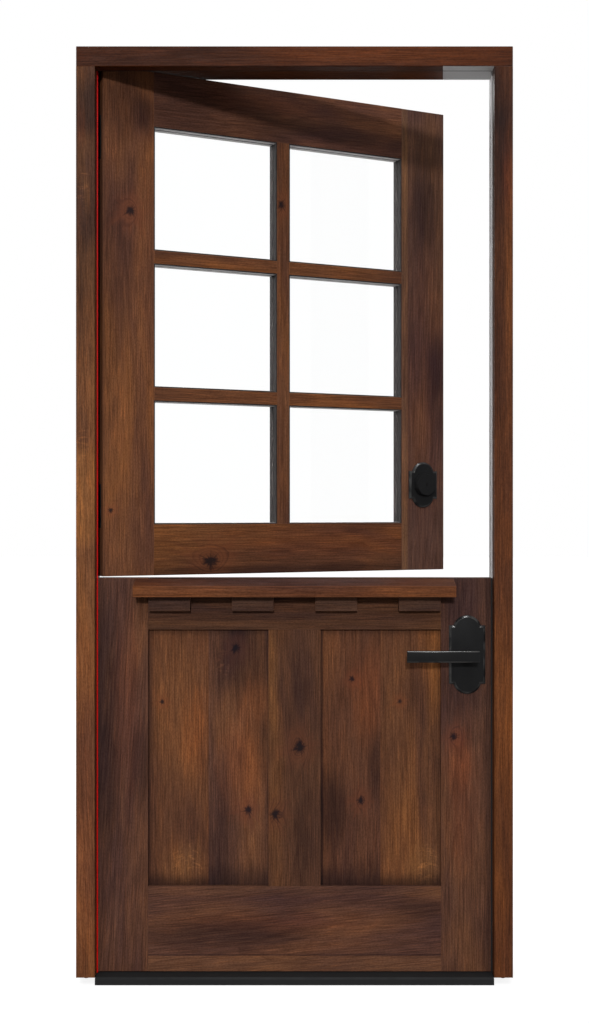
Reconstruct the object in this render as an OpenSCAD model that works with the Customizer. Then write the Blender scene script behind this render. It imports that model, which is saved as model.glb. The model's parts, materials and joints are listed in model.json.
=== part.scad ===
// Dutch stable door hung in its own frame, without the wall.
// The glazed upper leaf and the panelled lower leaf swing separately on the same side.
// Drawn with the upper leaf ajar, the lower leaf latched and the lever level.
// X runs from the hinge side to the lock side, Y from outside to inside, Z up.
// The origin is the middle of the threshold's underside.

/* [Frame] */
// Width over the two jambs
frame_w = 979; // [860:1:1200]
// Height from the floor to the top of the head
frame_h = 2104; // [1980:1:2400]
// Depth of the jambs, head and threshold through the wall
jamb_depth = 167; // [150:1:220]
// Width of a jamb's front face
jamb_face = 41.5; // [38:0.5:60]
// Height of the head's front face
head_face = 45; // [40:1:80]
// Depth of the front stop that the leaves close against
stop_depth = 34; // [24:1:45]
// Step of the side rabbets behind the stop
side_rabbet = 11; // [8:0.5:14]
// Step of the head rabbet behind the stop
head_rabbet = 20; // [12:1:28]
// Thickness of the threshold
threshold_t = 17; // [12:1:30]
// Depth of the threshold's front tongue, which lies between the jambs
sill_tongue = 52; // [30:1:70]
// Bevel on the threshold's front edge
sill_bevel = 4; // [1:0.5:8]
// Radius of the holes that fix the jambs to a wall
fixing_r = 4; // [3:0.5:6]
// Distance between neighbouring wall fixings
fixing_pitch = 520; // [300:5:600]

/* [Leaves] */
// Thickness of both leaves
leaf_t = 40; // [38:1:50]
// Height of the lower leaf
lower_leaf_h = 891.5; // [840:0.5:1000]
// Gap round a leaf, at the rabbets and between the leaves
edge_gap = 3; // [2:0.5:5]
// Gap between the threshold and the lower leaf
sill_gap = 2.5; // [1.5:0.5:6]
// Gap between the stop and a closed leaf, filled by the seals
seal_gap = 3; // [2:0.5:5]
// How far the side and head seals show past the stop
seal_lip = 3; // [1:0.5:5]
// Width of the hinge and lock stiles
stile_w = 124; // [112:1:150]
// How far the upper leaf stands open
upper_open = 26.5; // [0:0.5:90]
// Length of the rail tenons
tenon_l = 45; // [25:1:52]
// Thickness of the tenons
tenon_t = 13; // [8:1:16]
// Set-back of a tenon from the rail's edges
tenon_shoulder = 18; // [13:1:30]
// Clearance round tenons, panels and panes
joint_fit = 0.15; // [0.1:0.05:0.4]

/* [Lower panels] */
// Height of the lower leaf's top rail
lower_top_rail = 117; // [100:1:140]
// Height of the lower leaf's bottom rail
lower_bottom_rail = 192.5; // [150:0.5:220]
// Width of the centre mullion
mullion_w = 118; // [80:1:140]
// Thickness of the flat panels
panel_t = 14; // [10:1:18]
// Depth of the panel grooves
groove_d = 10; // [6:1:12]
// Room for a panel to swell at the bottom of its groove
panel_float = 0.9; // [0.5:0.1:0.9]

/* [Glazing] */
// Height of the upper leaf's top rail
upper_top_rail = 125; // [100:1:150]
// Height of the upper leaf's bottom rail
upper_bottom_rail = 118; // [100:1:150]
// Width of the vertical muntin
muntin_w = 32; // [28:1:48]
// Height of the horizontal muntins
bar_h = 30; // [24:1:45]
// Rows of panes
lite_rows = 3; // [2:1:5]
// Length of the muntins' stub tenons
stub_l = 11; // [8:0.5:13]
// Thickness of the glass
glass_t = 6; // [4:1:14]
// Thickness of the grey glazing liners that line each light
liner_t = 3; // [2:0.5:5]
// Set-back of the liners from the faces of the leaf
liner_setback = 1.5; // [0.5:0.5:4]

/* [Shelf] */
// Length of the shelf
shelf_l = 721; // [500:1:800]
// How far the shelf stands out from the leaf
shelf_out = 58; // [40:1:80]
// Height of the shelf's front edge
shelf_nose = 25; // [12:1:30]
// Rise of the shelf's weathered top from its front edge to the leaf
shelf_rise = 14; // [8:1:30]
// Drop from the top of the lower leaf to the back of the shelf
shelf_drop = 1.5; // [0:0.5:20]
// Number of dentil blocks
dentil_n = 4; // [2:1:6]
// Width of a dentil block
dentil_w = 94; // [40:1:110]
// Height of a dentil block
dentil_h = 33; // [20:1:60]
// How far the dentil blocks stand out from the leaf
dentil_out = 24; // [12:1:38]
// Distance between neighbouring dentil blocks
dentil_pitch = 188; // [120:1:200]

/* [Hinges] */
// Height of a hinge
hinge_h = 100; // [80:5:130]
// Width of a hinge plate from the pin's axis
hinge_plate_w = 33; // [28:1:40]
// Thickness of a hinge plate
hinge_plate_t = 2.5; // [2:0.25:3.5]
// Outside radius of the knuckles
knuckle_r = 6.5; // [5.5:0.25:8]
// Radius of the hinge pins
pin_r = 3; // [2:0.25:4]
// Radial running clearance of pins and turning spindles
pin_fit = 0.05; // [0.02:0.01:0.1]
// Distance of the hinges' middles from the ends of a leaf
hinge_inset = 160; // [120:5:220]

/* [Lever set] */
// Drop from the top of the lower leaf to the lever's axis
lever_drop = 173.5; // [160:0.5:260]
// Distance of the lever's axis from the leaf's edge
lever_backset = 65; // [60:1:75]
// Width of the shouldered plates
plate_w = 82.5; // [72:0.5:90]
// Height of the lever plate
lever_plate_h = 178; // [150:1:220]
// Radius of the round ends of a plate
lobe_r = 32.5; // [28:0.5:35]
// Distance from the end of a plate to its shoulder
shoulder_drop = 22.75; // [15:0.25:30]
// Thickness of a plate
plate_t = 7; // [5:0.5:8]
// Bevel round a plate's face
plate_bevel = 4.5; // [1:0.25:5]
// Reach of the lever from its axis to its tip
lever_reach = 140; // [100:1:160]
// Length of the lever behind its axis
lever_tail = 22; // [16:1:30]
// Height of the lever bar
lever_h = 26; // [18:1:34]
// Thickness of the lever bar
lever_t = 10; // [8:1:14]
// Distance from the leaf to the lever's outer face
lever_out = 57; // [45:1:70]
// Radius of the lever's neck
neck_r = 11; // [9:0.5:12]
// Width of the square spindle
spindle_w = 8; // [7:0.5:9]
// Travel of the latch bolt
latch_throw = 12; // [8:1:14]
// Radius of the latch bolt and the deadbolt
bolt_r = 7.5; // [6:0.5:8]

/* [Deadbolt] */
// Rise from the bottom of the upper leaf to the deadbolt's axis
deadbolt_rise = 215; // [196:1:480]
// Distance of the deadbolt's axis from the leaf's edge
deadbolt_backset = 63; // [60:1:75]
// Height of the deadbolt plate
deadbolt_plate_h = 115; // [100:1:150]
// Radius of the cylinder collar
collar_r = 29; // [22:0.5:32]
// How far the collar stands out from its plate
collar_out = 15; // [8:1:22]
// Radius of the key plug
plug_r = 9; // [7:0.5:10]
// Travel of the deadbolt
deadbolt_throw = 21; // [14:1:22]

/* [Joining bolt] */
// Distance of the joining bolt from the lock stile
joining_inset = 28; // [20:1:90]
// Radius of the joining bolt's rod
joining_r = 6; // [4:0.5:7]
// Travel of the joining bolt
joining_throw = 36; // [24:1:38]
// Length of the joining bolt's rod
joining_l = 110; // [100:1:111]

/* [Hidden] */
$fn = 48;

wood = "#5b3828";
dark_metal = "#232323";
steel = "#8d8f92";
grey_liner = "#6f7072";

// How far a cut runs past the face that it leaves
over = 1;

// Frame lines
front_y = -jamb_depth / 2;
rear_y = jamb_depth / 2;
jamb_x = frame_w / 2;
stop_x = jamb_x - jamb_face;
rabbet_x = stop_x + side_rabbet;
stop_y = front_y + stop_depth;
soffit_z = frame_h - head_face;
rabbet_z = soffit_z + head_rabbet;
sill_side_gap = 0.5;
sill_tongue_y = front_y + sill_tongue;
fixing_inset = 38;
fixing_y = rear_y - fixing_inset;
fixing_mid_z = (threshold_t + soffit_z) / 2;
fixing_zs = [for (i = [-1.5, -0.5, 0.5, 1.5]) fixing_mid_z + i * fixing_pitch];
corner_front_inset = 20;
corner_rear_inset = 22;
corner_screw_ys = [stop_y + corner_front_inset, rear_y - corner_rear_inset];

// Seal strips on the rear face of the stop, just clear of a closed leaf
seal_clear = 0.3;
seal_hidden = 4;
seal_y1 = stop_y + seal_gap - seal_clear;

// Leaf lines, with both leaves closed
leaf_x = rabbet_x - edge_gap;
leaf_y0 = stop_y + seal_gap;
leaf_y1 = leaf_y0 + leaf_t;
leaf_mid_y = (leaf_y0 + leaf_y1) / 2;
stile_x = leaf_x - stile_w;
lower_z0 = threshold_t + sill_gap;
lower_z1 = lower_z0 + lower_leaf_h;
upper_z0 = lower_z1 + edge_gap;
upper_z1 = rabbet_z - edge_gap;
panel_z0 = lower_z0 + lower_bottom_rail;
panel_z1 = lower_z1 - lower_top_rail;
glazed_z0 = upper_z0 + upper_bottom_rail;
glazed_z1 = upper_z1 - upper_top_rail;
lite_h = (glazed_z1 - glazed_z0 - (lite_rows - 1) * bar_h) / lite_rows;
lite_pitch = lite_h + bar_h;
lite_w = stile_x - muntin_w / 2;
lite_xs = [-stile_x, muntin_w / 2];
lite_zs = [for (i = [0 : lite_rows - 1]) glazed_z0 + i * lite_pitch];
bar_zs = [for (i = [1 : lite_rows - 1]) glazed_z0 + i * lite_pitch - bar_h];
glass_y0 = leaf_mid_y - glass_t / 2;
glass_y1 = leaf_mid_y + glass_t / 2;
stub_web = 3;
inner_stub_l = min(stub_l, muntin_w / 2 - stub_web);

// The hinge axis lies midway between the plates, clear behind the leaves
barrel_clear = 0.5;
axis_x = -rabbet_x + edge_gap / 2;
axis_y = leaf_y1 + knuckle_r + barrel_clear;
knuckle_n = 5;
knuckle_h = hinge_h / knuckle_n;
knuckle_gap = 0.2;
pin_head_r = 5;
pin_head_h = 4;
pin_head_chamfer = 1.5;
lower_hinge_zs = [lower_z0 + hinge_inset, lower_z1 - hinge_inset];
upper_hinge_zs = [upper_z0 + hinge_inset, upper_z1 - hinge_inset];
hinge_zs = concat(lower_hinge_zs, upper_hinge_zs);

// Screws
screw_r = 2;
screw_head_h = 2.2;
screw_fit = 0.1;
hinge_screw_l = 22;
small_screw_l = 16;
frame_screw_l = 70;
through_screw_l = leaf_t + 1.5 * plate_t;
frame_screw_r = 2.5;
hinge_screw_zs = [-0.34 * hinge_h, 0, 0.34 * hinge_h];
hinge_screw_ys = [-0.68 * hinge_plate_w, -0.45 * hinge_plate_w, -0.68 * hinge_plate_w];

// Locks
lock_part_fit = 0.1;
case_r = 11.5;
faceplate_t = 3;
faceplate_w = 25;
faceplate_h = 57;
faceplate_screw_z = 21;
strike_t = 2;
strike_w = 28;
strike_h = 70;
strike_screw_z = 26;
strike_hole_clear = 1.2;
strike_hole_r = bolt_r + strike_hole_clear;
strike_depth_clear = 1.5;
lever_x = leaf_x - lever_backset;
lever_z = lower_z1 - lever_drop;
deadbolt_x = leaf_x - deadbolt_backset;
deadbolt_z = upper_z0 + deadbolt_rise;
face_x = leaf_x - faceplate_t;
spindle_clear = 0.4;
spindle_bore_r = spindle_w * sqrt(2) / 2 + spindle_clear;
spindle_cover = 6;
case_back = 14;
case_nose_gap = 3;
cross_bore_clear = 2;
cross_bore_r = neck_r + cross_bore_clear;
plate_screw_z = 42;
rose_screw_z = 22;
bolt_rest_gap = 0.5;
bolt_tail_gap = 1;
rose_rim = 4;
rose_r = collar_r + rose_rim;
tail_w = 5;

// Joining bolt on the inner side, which locks the leaves together
joining_x = stile_x - joining_inset;
joining_plate_t = 3;
joining_wall = 4;
guide_h = 14;
joining_clear = 1.5;
joining_y = leaf_y1 + joining_plate_t + joining_r + joining_clear;
joining_drop = 4;
joining_top = lower_z1 - joining_drop;
joining_bottom = joining_top - joining_l;
joining_plate_w = 34;
joining_plate_inset = 1;
low_guide_inset = 8;
high_guide_inset = 4;
guide_zs = [joining_bottom + low_guide_inset, joining_top - guide_h - high_guide_inset];
joining_screw_edge = 6;
joining_screw_x = joining_plate_w / 2 - joining_screw_edge;
joining_screw_gap = 12;
joining_screw_zs = [guide_zs[0] + guide_h + joining_screw_gap, guide_zs[1] - joining_screw_gap];
keeper_rise = 10;
keeper_z0 = upper_z0 + keeper_rise;
keeper_spare = 2;
keeper_h = joining_top + joining_throw + keeper_spare - keeper_z0;
keeper_ear = 20;
keeper_plate_h = keeper_h + keeper_ear;
keeper_screw_edge = 8;
keeper_screw_z = keeper_z0 + keeper_plate_h - keeper_screw_edge;

module box(x0, x1, y0, y1, z0, z1) {
    translate([x0, y0, z0])
        cube([x1 - x0, y1 - y0, z1 - z0]);
}

module swing_open() {
    translate([axis_x, axis_y, 0])
        rotate([0, 0, upper_open])
            translate([-axis_x, -axis_y, 0])
                children();
}

// A cylinder from y0 to y1
module along_y(x, z, y0, y1, r) {
    translate([x, y1, z])
        rotate([90, 0, 0])
            cylinder(h = y1 - y0, r = r);
}

// A cylinder from x0 to x1
module along_x(x0, x1, y, z, r) {
    translate([x0, y, z])
        rotate([0, 90, 0])
            cylinder(h = x1 - x0, r = r);
}

// Half the section of a countersunk screw, from the edge of its head down to its point
function screw_section(l, r, fit) = [
    [2 * r + fit, 0], [r + fit, -screw_head_h], [r + fit, 2 * r - l], [0, -l - fit]
];

// A countersunk screw that points down from its head's face
module screw(l, r) {
    rotate_extrude()
        polygon(concat([[0, 0]], screw_section(l, r, 0)));
}

// The hole for a screw, with a mouth above its head
module screw_hole(l, r) {
    rotate_extrude()
        polygon(concat([[0, over], [2 * r + screw_fit, over]], screw_section(l, r, screw_fit)));
}

// A screw of the given length where the hole is false, or its hole
module screw_or_hole(l, r, hole) {
    if (hole)
        screw_hole(l, r);
    else
        screw(l, r);
}

// The rail from z0 to z1 of either leaf, with a tenon at each end
module rail(z0, z1) {
    box(-stile_x, stile_x, leaf_y0, leaf_y1, z0, z1);
    for (side = [-1, 1])
        rail_tenon(side, z0, z1, 0);
}

module rail_tenon(side, z0, z1, fit) {
    x0 = side > 0 ? stile_x : -stile_x - tenon_l - fit;
    box(x0, x0 + tenon_l + fit, leaf_mid_y - tenon_t / 2 - fit, leaf_mid_y + tenon_t / 2 + fit,
        z0 + tenon_shoulder - fit, z1 - tenon_shoulder + fit);
}

module stile(side, z0, z1) {
    x0 = side > 0 ? stile_x : -leaf_x;
    box(x0, x0 + stile_w, leaf_y0, leaf_y1, z0, z1);
}

// Space for a panel's edge, or with a smaller fit the tongue that lies in it
module groove(x0, x1, z0, z1, fit) {
    box(x0, x1, leaf_mid_y - panel_t / 2 - fit, leaf_mid_y + panel_t / 2 + fit, z0, z1);
}

// The hinges: knuckles 1, 3 and 5 belong to the jamb, 2 and 4 to the leaf
module hinge_half(z, leaf_side) {
    x0 = leaf_side ? -leaf_x : -rabbet_x - hinge_plate_t;
    own = leaf_side ? [1, 3] : [0, 2, 4];
    other = leaf_side ? [0, 2, 4] : [1, 3];
    base = z - hinge_h / 2;
    difference() {
        union() {
            box(x0, x0 + hinge_plate_t, axis_y - hinge_plate_w, axis_y, base, base + hinge_h);
            for (k = own)
                translate([axis_x, axis_y, base + k * knuckle_h + knuckle_gap])
                    cylinder(h = knuckle_h - 2 * knuckle_gap, r = knuckle_r);
        }
        for (k = other)
            translate([axis_x, axis_y, base + k * knuckle_h - knuckle_gap])
                cylinder(h = knuckle_h + 2 * knuckle_gap, r = knuckle_r + barrel_clear);
        translate([axis_x, axis_y, base - over])
            cylinder(h = hinge_h + 2 * over, r = pin_r + pin_fit);
        hinge_screws(z, leaf_side, true);
    }
}

module hinge_screws(z, leaf_side, hole) {
    face = leaf_side ? -leaf_x : -rabbet_x;
    for (i = [0 : 2])
        translate([face, axis_y + hinge_screw_ys[i], z + hinge_screw_zs[i]])
            rotate([0, leaf_side ? -90 : 90, 0])
                screw_or_hole(hinge_screw_l, screw_r, hole);
}

// Recess in a stile's edge for a hinge plate and its screws
module leaf_hinge_recess(z) {
    box(-leaf_x - over, -leaf_x + hinge_plate_t, axis_y - hinge_plate_w - joint_fit, leaf_y1 + over,
        z - hinge_h / 2 - joint_fit, z + hinge_h / 2 + joint_fit);
    hinge_screws(z, true, true);
}

// Recess in the hinge jamb for a plate, its screws and the barrel
module jamb_hinge_recess(z) {
    box(-rabbet_x - hinge_plate_t, -rabbet_x + over, axis_y - hinge_plate_w - joint_fit, axis_y,
        z - hinge_h / 2 - joint_fit, z + hinge_h / 2 + joint_fit);
    translate([axis_x, axis_y, z - hinge_h / 2 - pin_head_h - over])
        cylinder(h = hinge_h + 2 * (pin_head_h + over), r = knuckle_r + barrel_clear);
    hinge_screws(z, false, true);
}

// The jamb on one side, before its hardware is let in
module plain_jamb(side) {
    difference() {
        mirror([side > 0 ? 0 : 1, 0, 0])
            union() {
                box(stop_x, jamb_x, front_y, stop_y, threshold_t, soffit_z);
                box(rabbet_x, jamb_x, stop_y, rear_y, threshold_t, rabbet_z);
            }
        for (z = fixing_zs)
            translate([side * rabbet_x, fixing_y, z])
                rotate([0, side * 90, 0])
                    fixing_hole();
        corner_screws(side, true);
    }
}

// A countersunk hole through a jamb for a wall fixing
module fixing_hole() {
    translate([0, 0, -over])
        cylinder(h = jamb_face + 2 * over, r = fixing_r);
    cylinder(h = fixing_r, r1 = 2 * fixing_r, r2 = fixing_r);
}

// Two screws through the head and two through the threshold into a jamb
module corner_screws(side, hole) {
    for (y = corner_screw_ys, top = [true, false])
        translate([side * (rabbet_x + jamb_x) / 2, y, top ? frame_h : 0])
            rotate([top ? 0 : 180, 0, 0])
                screw_or_hole(frame_screw_l, frame_screw_r, hole);
}

// Recess in the strike jamb for a strike plate, its screws and a bolt of the given travel
module strike_recess(z, throw) {
    box(rabbet_x - over, rabbet_x + strike_t, leaf_mid_y - strike_w / 2 - joint_fit,
        leaf_mid_y + strike_w / 2 + joint_fit, z - strike_h / 2 - joint_fit,
        z + strike_h / 2 + joint_fit);
    along_x(rabbet_x, leaf_x + throw + strike_depth_clear, leaf_mid_y, z, strike_hole_r);
    strike_screws(z, true);
}

module strike_screws(z, hole) {
    for (dz = [-strike_screw_z, strike_screw_z])
        translate([rabbet_x, leaf_mid_y, z + dz])
            rotate([0, -90, 0])
                screw_or_hole(small_screw_l, screw_r, hole);
}

module strike_plate(z) {
    difference() {
        box(rabbet_x, rabbet_x + strike_t, leaf_mid_y - strike_w / 2, leaf_mid_y + strike_w / 2,
            z - strike_h / 2, z + strike_h / 2);
        along_x(rabbet_x - over, rabbet_x + strike_t + over, leaf_mid_y, z, strike_hole_r);
        strike_screws(z, true);
    }
}

// Bores in a lock stile: edge bore, faceplate recess and the cross bore for the spindle
module lock_bores(x, z) {
    along_x(x - case_back - lock_part_fit, leaf_x + over, leaf_mid_y, z, case_r + lock_part_fit);
    box(face_x, leaf_x + over, leaf_mid_y - faceplate_w / 2 - joint_fit,
        leaf_mid_y + faceplate_w / 2 + joint_fit, z - faceplate_h / 2 - joint_fit,
        z + faceplate_h / 2 + joint_fit);
    along_y(x, z, leaf_y0 - over, leaf_y1 + over, cross_bore_r);
    faceplate_screws(z, true);
}

module faceplate_screws(z, hole) {
    for (dz = [-faceplate_screw_z, faceplate_screw_z])
        translate([leaf_x, leaf_mid_y, z + dz])
            rotate([0, 90, 0])
                screw_or_hole(small_screw_l, screw_r, hole);
}

module faceplate(z) {
    difference() {
        box(face_x, leaf_x, leaf_mid_y - faceplate_w / 2, leaf_mid_y + faceplate_w / 2,
            z - faceplate_h / 2, z + faceplate_h / 2);
        along_x(face_x - over, leaf_x + over, leaf_mid_y, z, bolt_r + lock_part_fit);
        faceplate_screws(z, true);
    }
}

// The tubular case that guides a bolt, crossed by the spindle
module bolt_case(x, z) {
    difference() {
        along_x(x - case_back, face_x, leaf_mid_y, z, case_r);
        along_x(x + spindle_bore_r + case_nose_gap, face_x + over, leaf_mid_y, z,
            bolt_r + lock_part_fit);
        along_y(x, z, leaf_y0, leaf_y1, spindle_bore_r);
    }
}

// A shouldered plate with round ends and a bevelled face, on the side that dir points to
module shouldered_plate(x, z, y, dir, h) {
    mid_h = h - 2 * shoulder_drop;
    lobe_z = h / 2 - lobe_r;
    flat_t = plate_t - plate_bevel;
    translate([x, y, z])
        rotate([dir > 0 ? -90 : 90, 0, 0]) {
            hull() {
                translate([-plate_w / 2, -mid_h / 2, 0])
                    cube([plate_w, mid_h, flat_t]);
                translate([plate_bevel - plate_w / 2, plate_bevel - mid_h / 2, 0])
                    cube([plate_w - 2 * plate_bevel, mid_h - 2 * plate_bevel, plate_t]);
            }
            for (end = [-lobe_z, lobe_z])
                translate([0, end, 0]) {
                    cylinder(h = flat_t, r = lobe_r);
                    translate([0, 0, flat_t])
                        cylinder(h = plate_bevel, r1 = lobe_r, r2 = lobe_r - plate_bevel);
                }
        }
}

// Two screws from the inner side that clamp a pair of plates through the stile
module through_screws(x, z, spread, hole) {
    for (s = [-1, 1])
        translate([x, leaf_y1 + plate_t, z + s * spread])
            rotate([-90, 0, 0])
                screw_or_hole(through_screw_l, screw_r, hole);
}

// A bar lever on the side that dir points to, with a socket for the spindle
module lever(y_face, dir) {
    bar_y = y_face + dir * lever_out;
    edge = 2;
    difference() {
        union() {
            translate([lever_x - lever_reach, bar_y, lever_z])
                rotate([0, 90, 0])
                    linear_extrude(lever_reach + lever_tail)
                        mirror([0, dir > 0 ? 1 : 0])
                            polygon([
                                [-lever_h / 2, lever_t], [-lever_h / 2, edge], [edge - lever_h / 2, 0],
                                [lever_h / 2 - edge, 0], [lever_h / 2, edge], [lever_h / 2, lever_t]
                            ]);
            if (dir > 0)
                along_y(lever_x, lever_z, y_face + lock_part_fit, bar_y - lever_t, neck_r);
            else
                along_y(lever_x, lever_z, bar_y + lever_t, y_face - lock_part_fit, neck_r);
        }
        spindle(joint_fit);
    }
}

module spindle(fit) {
    half = spindle_w / 2 + fit;
    reach = lever_out - lever_t - spindle_cover + fit;
    box(lever_x - half, lever_x + half, leaf_y0 - reach, leaf_y1 + reach,
        lever_z - half, lever_z + half);
}

// One glazing liner round a pane, from y0 to y1
module liner(x, z, y0, y1) {
    difference() {
        box(x + joint_fit, x + lite_w - joint_fit, y0, y1, z + joint_fit, z + lite_h - joint_fit);
        box(x + liner_t, x + lite_w - liner_t, y0 - over, y1 + over, z + liner_t, z + lite_h - liner_t);
    }
}

// The stub tenons of a horizontal muntin, or their mortises
module bar_stubs(z, fit) {
    for (x = [-stile_x, -muntin_w / 2, muntin_w / 2, stile_x]) {
        inner = abs(x) < stile_x;
        out = x > 0 ? !inner : inner;
        l = inner ? inner_stub_l : stub_l;
        x0 = out ? x : x - l - fit;
        box(x0, x0 + l + fit, leaf_mid_y - tenon_t / 2 - fit, leaf_mid_y + tenon_t / 2 + fit,
            z + bar_h / 4 - fit, z + 3 * bar_h / 4 + fit);
    }
}

// The stub tenons of the vertical muntin, or their mortises
module muntin_stubs(fit) {
    for (z = [glazed_z0 - stub_l - fit, glazed_z1])
        box(-muntin_w / 4 - fit, muntin_w / 4 + fit, leaf_mid_y - tenon_t / 2 - fit,
            leaf_mid_y + tenon_t / 2 + fit, z, z + stub_l + fit);
}

module panel(x0, x1) {
    lap = groove_d - panel_float;
    groove(x0 - lap, x1 + lap, panel_z0 - lap, panel_z1 + lap, 0);
}

// Frame

module hinge_jamb() {
    color(wood)
        difference() {
            plain_jamb(-1);
            for (z = hinge_zs)
                jamb_hinge_recess(z);
        }
}

module strike_jamb() {
    color(wood)
        difference() {
            plain_jamb(1);
            strike_recess(lever_z, latch_throw);
            strike_recess(deadbolt_z, deadbolt_throw);
        }
}

module head_jamb() {
    color(wood)
        difference() {
            box(-jamb_x, jamb_x, front_y, rear_y, soffit_z, frame_h);
            box(-jamb_x - over, jamb_x + over, stop_y, rear_y + over, soffit_z - over, rabbet_z);
            corner_screws(-1, true);
            corner_screws(1, true);
        }
}

module threshold() {
    tongue_x = stop_x - sill_side_gap;
    color(dark_metal)
        difference() {
            union() {
                box(-jamb_x, jamb_x, sill_tongue_y, rear_y, 0, threshold_t);
                translate([-tongue_x, 0, 0])
                    rotate([90, 0, 90])
                        linear_extrude(2 * tongue_x)
                            polygon([
                                [front_y, 0], [sill_tongue_y, 0], [sill_tongue_y, threshold_t],
                                [front_y + sill_bevel, threshold_t], [front_y, threshold_t - sill_bevel]
                            ]);
            }
            corner_screws(-1, true);
            corner_screws(1, true);
        }
}

module hinge_side_seal() {
    color("#a51412")
        box(-stop_x - seal_hidden, -stop_x + seal_lip, stop_y, seal_y1, threshold_t, soffit_z);
}

module strike_side_seal() {
    color(dark_metal)
        box(stop_x - seal_lip, stop_x + seal_hidden, stop_y, seal_y1, threshold_t, soffit_z);
}

module head_seal() {
    color(dark_metal)
        box(-stop_x - seal_hidden, stop_x + seal_hidden, stop_y, seal_y1,
            soffit_z, soffit_z + seal_hidden);
}

module hinge_jamb_plates() {
    color(dark_metal)
        for (z = hinge_zs)
            hinge_half(z, false);
}

module hinge_pins() {
    color(steel)
        for (z = hinge_zs)
            translate([axis_x, axis_y, z - hinge_h / 2]) {
                cylinder(h = hinge_h, r = pin_r);
                translate([0, 0, hinge_h])
                    cylinder(h = pin_head_h, r1 = pin_head_r, r2 = pin_head_r - pin_head_chamfer);
            }
}

module latch_strike() {
    color(dark_metal)
        strike_plate(lever_z);
}

module deadbolt_strike() {
    color(dark_metal)
        strike_plate(deadbolt_z);
}

module frame_screws() {
    color(dark_metal) {
        for (z = hinge_zs)
            hinge_screws(z, false, false);
        for (z = [lever_z, deadbolt_z])
            strike_screws(z, false);
        for (side = [-1, 1])
            corner_screws(side, false);
    }
}

// Upper leaf

module upper_hinge_stile() {
    color(wood)
        swing_open()
            difference() {
                stile(-1, upper_z0, upper_z1);
                upper_mortises();
                for (z = upper_hinge_zs)
                    leaf_hinge_recess(z);
            }
}

module upper_mortises() {
    for (side = [-1, 1]) {
        rail_tenon(side, upper_z0, glazed_z0, joint_fit);
        rail_tenon(side, glazed_z1, upper_z1, joint_fit);
    }
    for (z = bar_zs)
        bar_stubs(z, joint_fit);
}

module upper_lock_stile() {
    color(wood)
        swing_open()
            difference() {
                stile(1, upper_z0, upper_z1);
                upper_mortises();
                lock_bores(deadbolt_x, deadbolt_z);
                through_screws(deadbolt_x, deadbolt_z, rose_screw_z, true);
            }
}

module upper_top_rail_piece() {
    color(wood)
        swing_open()
            difference() {
                rail(glazed_z1, upper_z1);
                muntin_stubs(joint_fit);
            }
}

module upper_bottom_rail_piece() {
    color(wood)
        swing_open()
            difference() {
                rail(upper_z0, glazed_z0);
                muntin_stubs(joint_fit);
                keeper_screws(true);
            }
}

module vertical_muntin() {
    color(wood)
        swing_open()
            difference() {
                union() {
                    box(-muntin_w / 2, muntin_w / 2, leaf_y0, leaf_y1, glazed_z0, glazed_z1);
                    muntin_stubs(0);
                }
                for (z = bar_zs)
                    bar_stubs(z, joint_fit);
            }
}

module horizontal_muntins() {
    color(wood)
        swing_open()
            for (z = bar_zs) {
                for (x = lite_xs)
                    box(x, x + lite_w, leaf_y0, leaf_y1, z, z + bar_h);
                bar_stubs(z, 0);
            }
}

module glass_panes() {
    color("#dfe8ea", 0.35)
        swing_open()
            for (x = lite_xs, z = lite_zs)
                box(x + joint_fit, x + lite_w - joint_fit, glass_y0, glass_y1,
                    z + joint_fit, z + lite_h - joint_fit);
}

module front_glazing_liners() {
    color(grey_liner)
        swing_open()
            for (x = lite_xs, z = lite_zs)
                liner(x, z, leaf_y0 + liner_setback, glass_y0);
}

module rear_glazing_liners() {
    color(grey_liner)
        swing_open()
            for (x = lite_xs, z = lite_zs)
                liner(x, z, glass_y1, leaf_y1 - liner_setback);
}

module upper_hinge_plates() {
    color(dark_metal)
        swing_open()
            for (z = upper_hinge_zs)
                hinge_half(z, true);
}

module deadbolt_plate() {
    color(dark_metal)
        swing_open()
            difference() {
                shouldered_plate(deadbolt_x, deadbolt_z, leaf_y0, -1, deadbolt_plate_h);
                along_y(deadbolt_x, deadbolt_z, leaf_y0 - plate_t - over, leaf_y0 + over, plug_r + pin_fit);
                through_screws(deadbolt_x, deadbolt_z, rose_screw_z, true);
            }
}

module deadbolt_collar() {
    collar_y = leaf_y0 - plate_t;
    lip = 3;
    color(dark_metal)
        swing_open()
            translate([deadbolt_x, collar_y, deadbolt_z])
                rotate([90, 0, 0])
                    rotate_extrude()
                        polygon([
                            [plug_r + pin_fit, 0], [collar_r, 0], [collar_r, lip],
                            [collar_r - lip, collar_out], [plug_r + pin_fit, collar_out]
                        ]);
}

module deadbolt_rear_rose() {
    color(dark_metal)
        swing_open()
            difference() {
                along_y(deadbolt_x, deadbolt_z, leaf_y1, leaf_y1 + plate_t, rose_r);
                along_y(deadbolt_x, deadbolt_z, leaf_y1 - over, leaf_y1 + plate_t + over, plug_r + pin_fit);
                through_screws(deadbolt_x, deadbolt_z, rose_screw_z, true);
            }
}

module deadbolt_case() {
    color(steel)
        swing_open()
            bolt_case(deadbolt_x, deadbolt_z);
}

module deadbolt_faceplate() {
    color(dark_metal)
        swing_open()
            faceplate(deadbolt_z);
}

module joining_bolt_keeper() {
    color(dark_metal)
        swing_open()
            difference() {
                union() {
                    box(joining_x - joining_plate_w / 2, joining_x + joining_plate_w / 2, leaf_y1,
                        leaf_y1 + joining_plate_t, keeper_z0, keeper_z0 + keeper_plate_h);
                    joining_guide(keeper_z0, keeper_h);
                }
                joining_bore();
                keeper_screws(true);
            }
}

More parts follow.
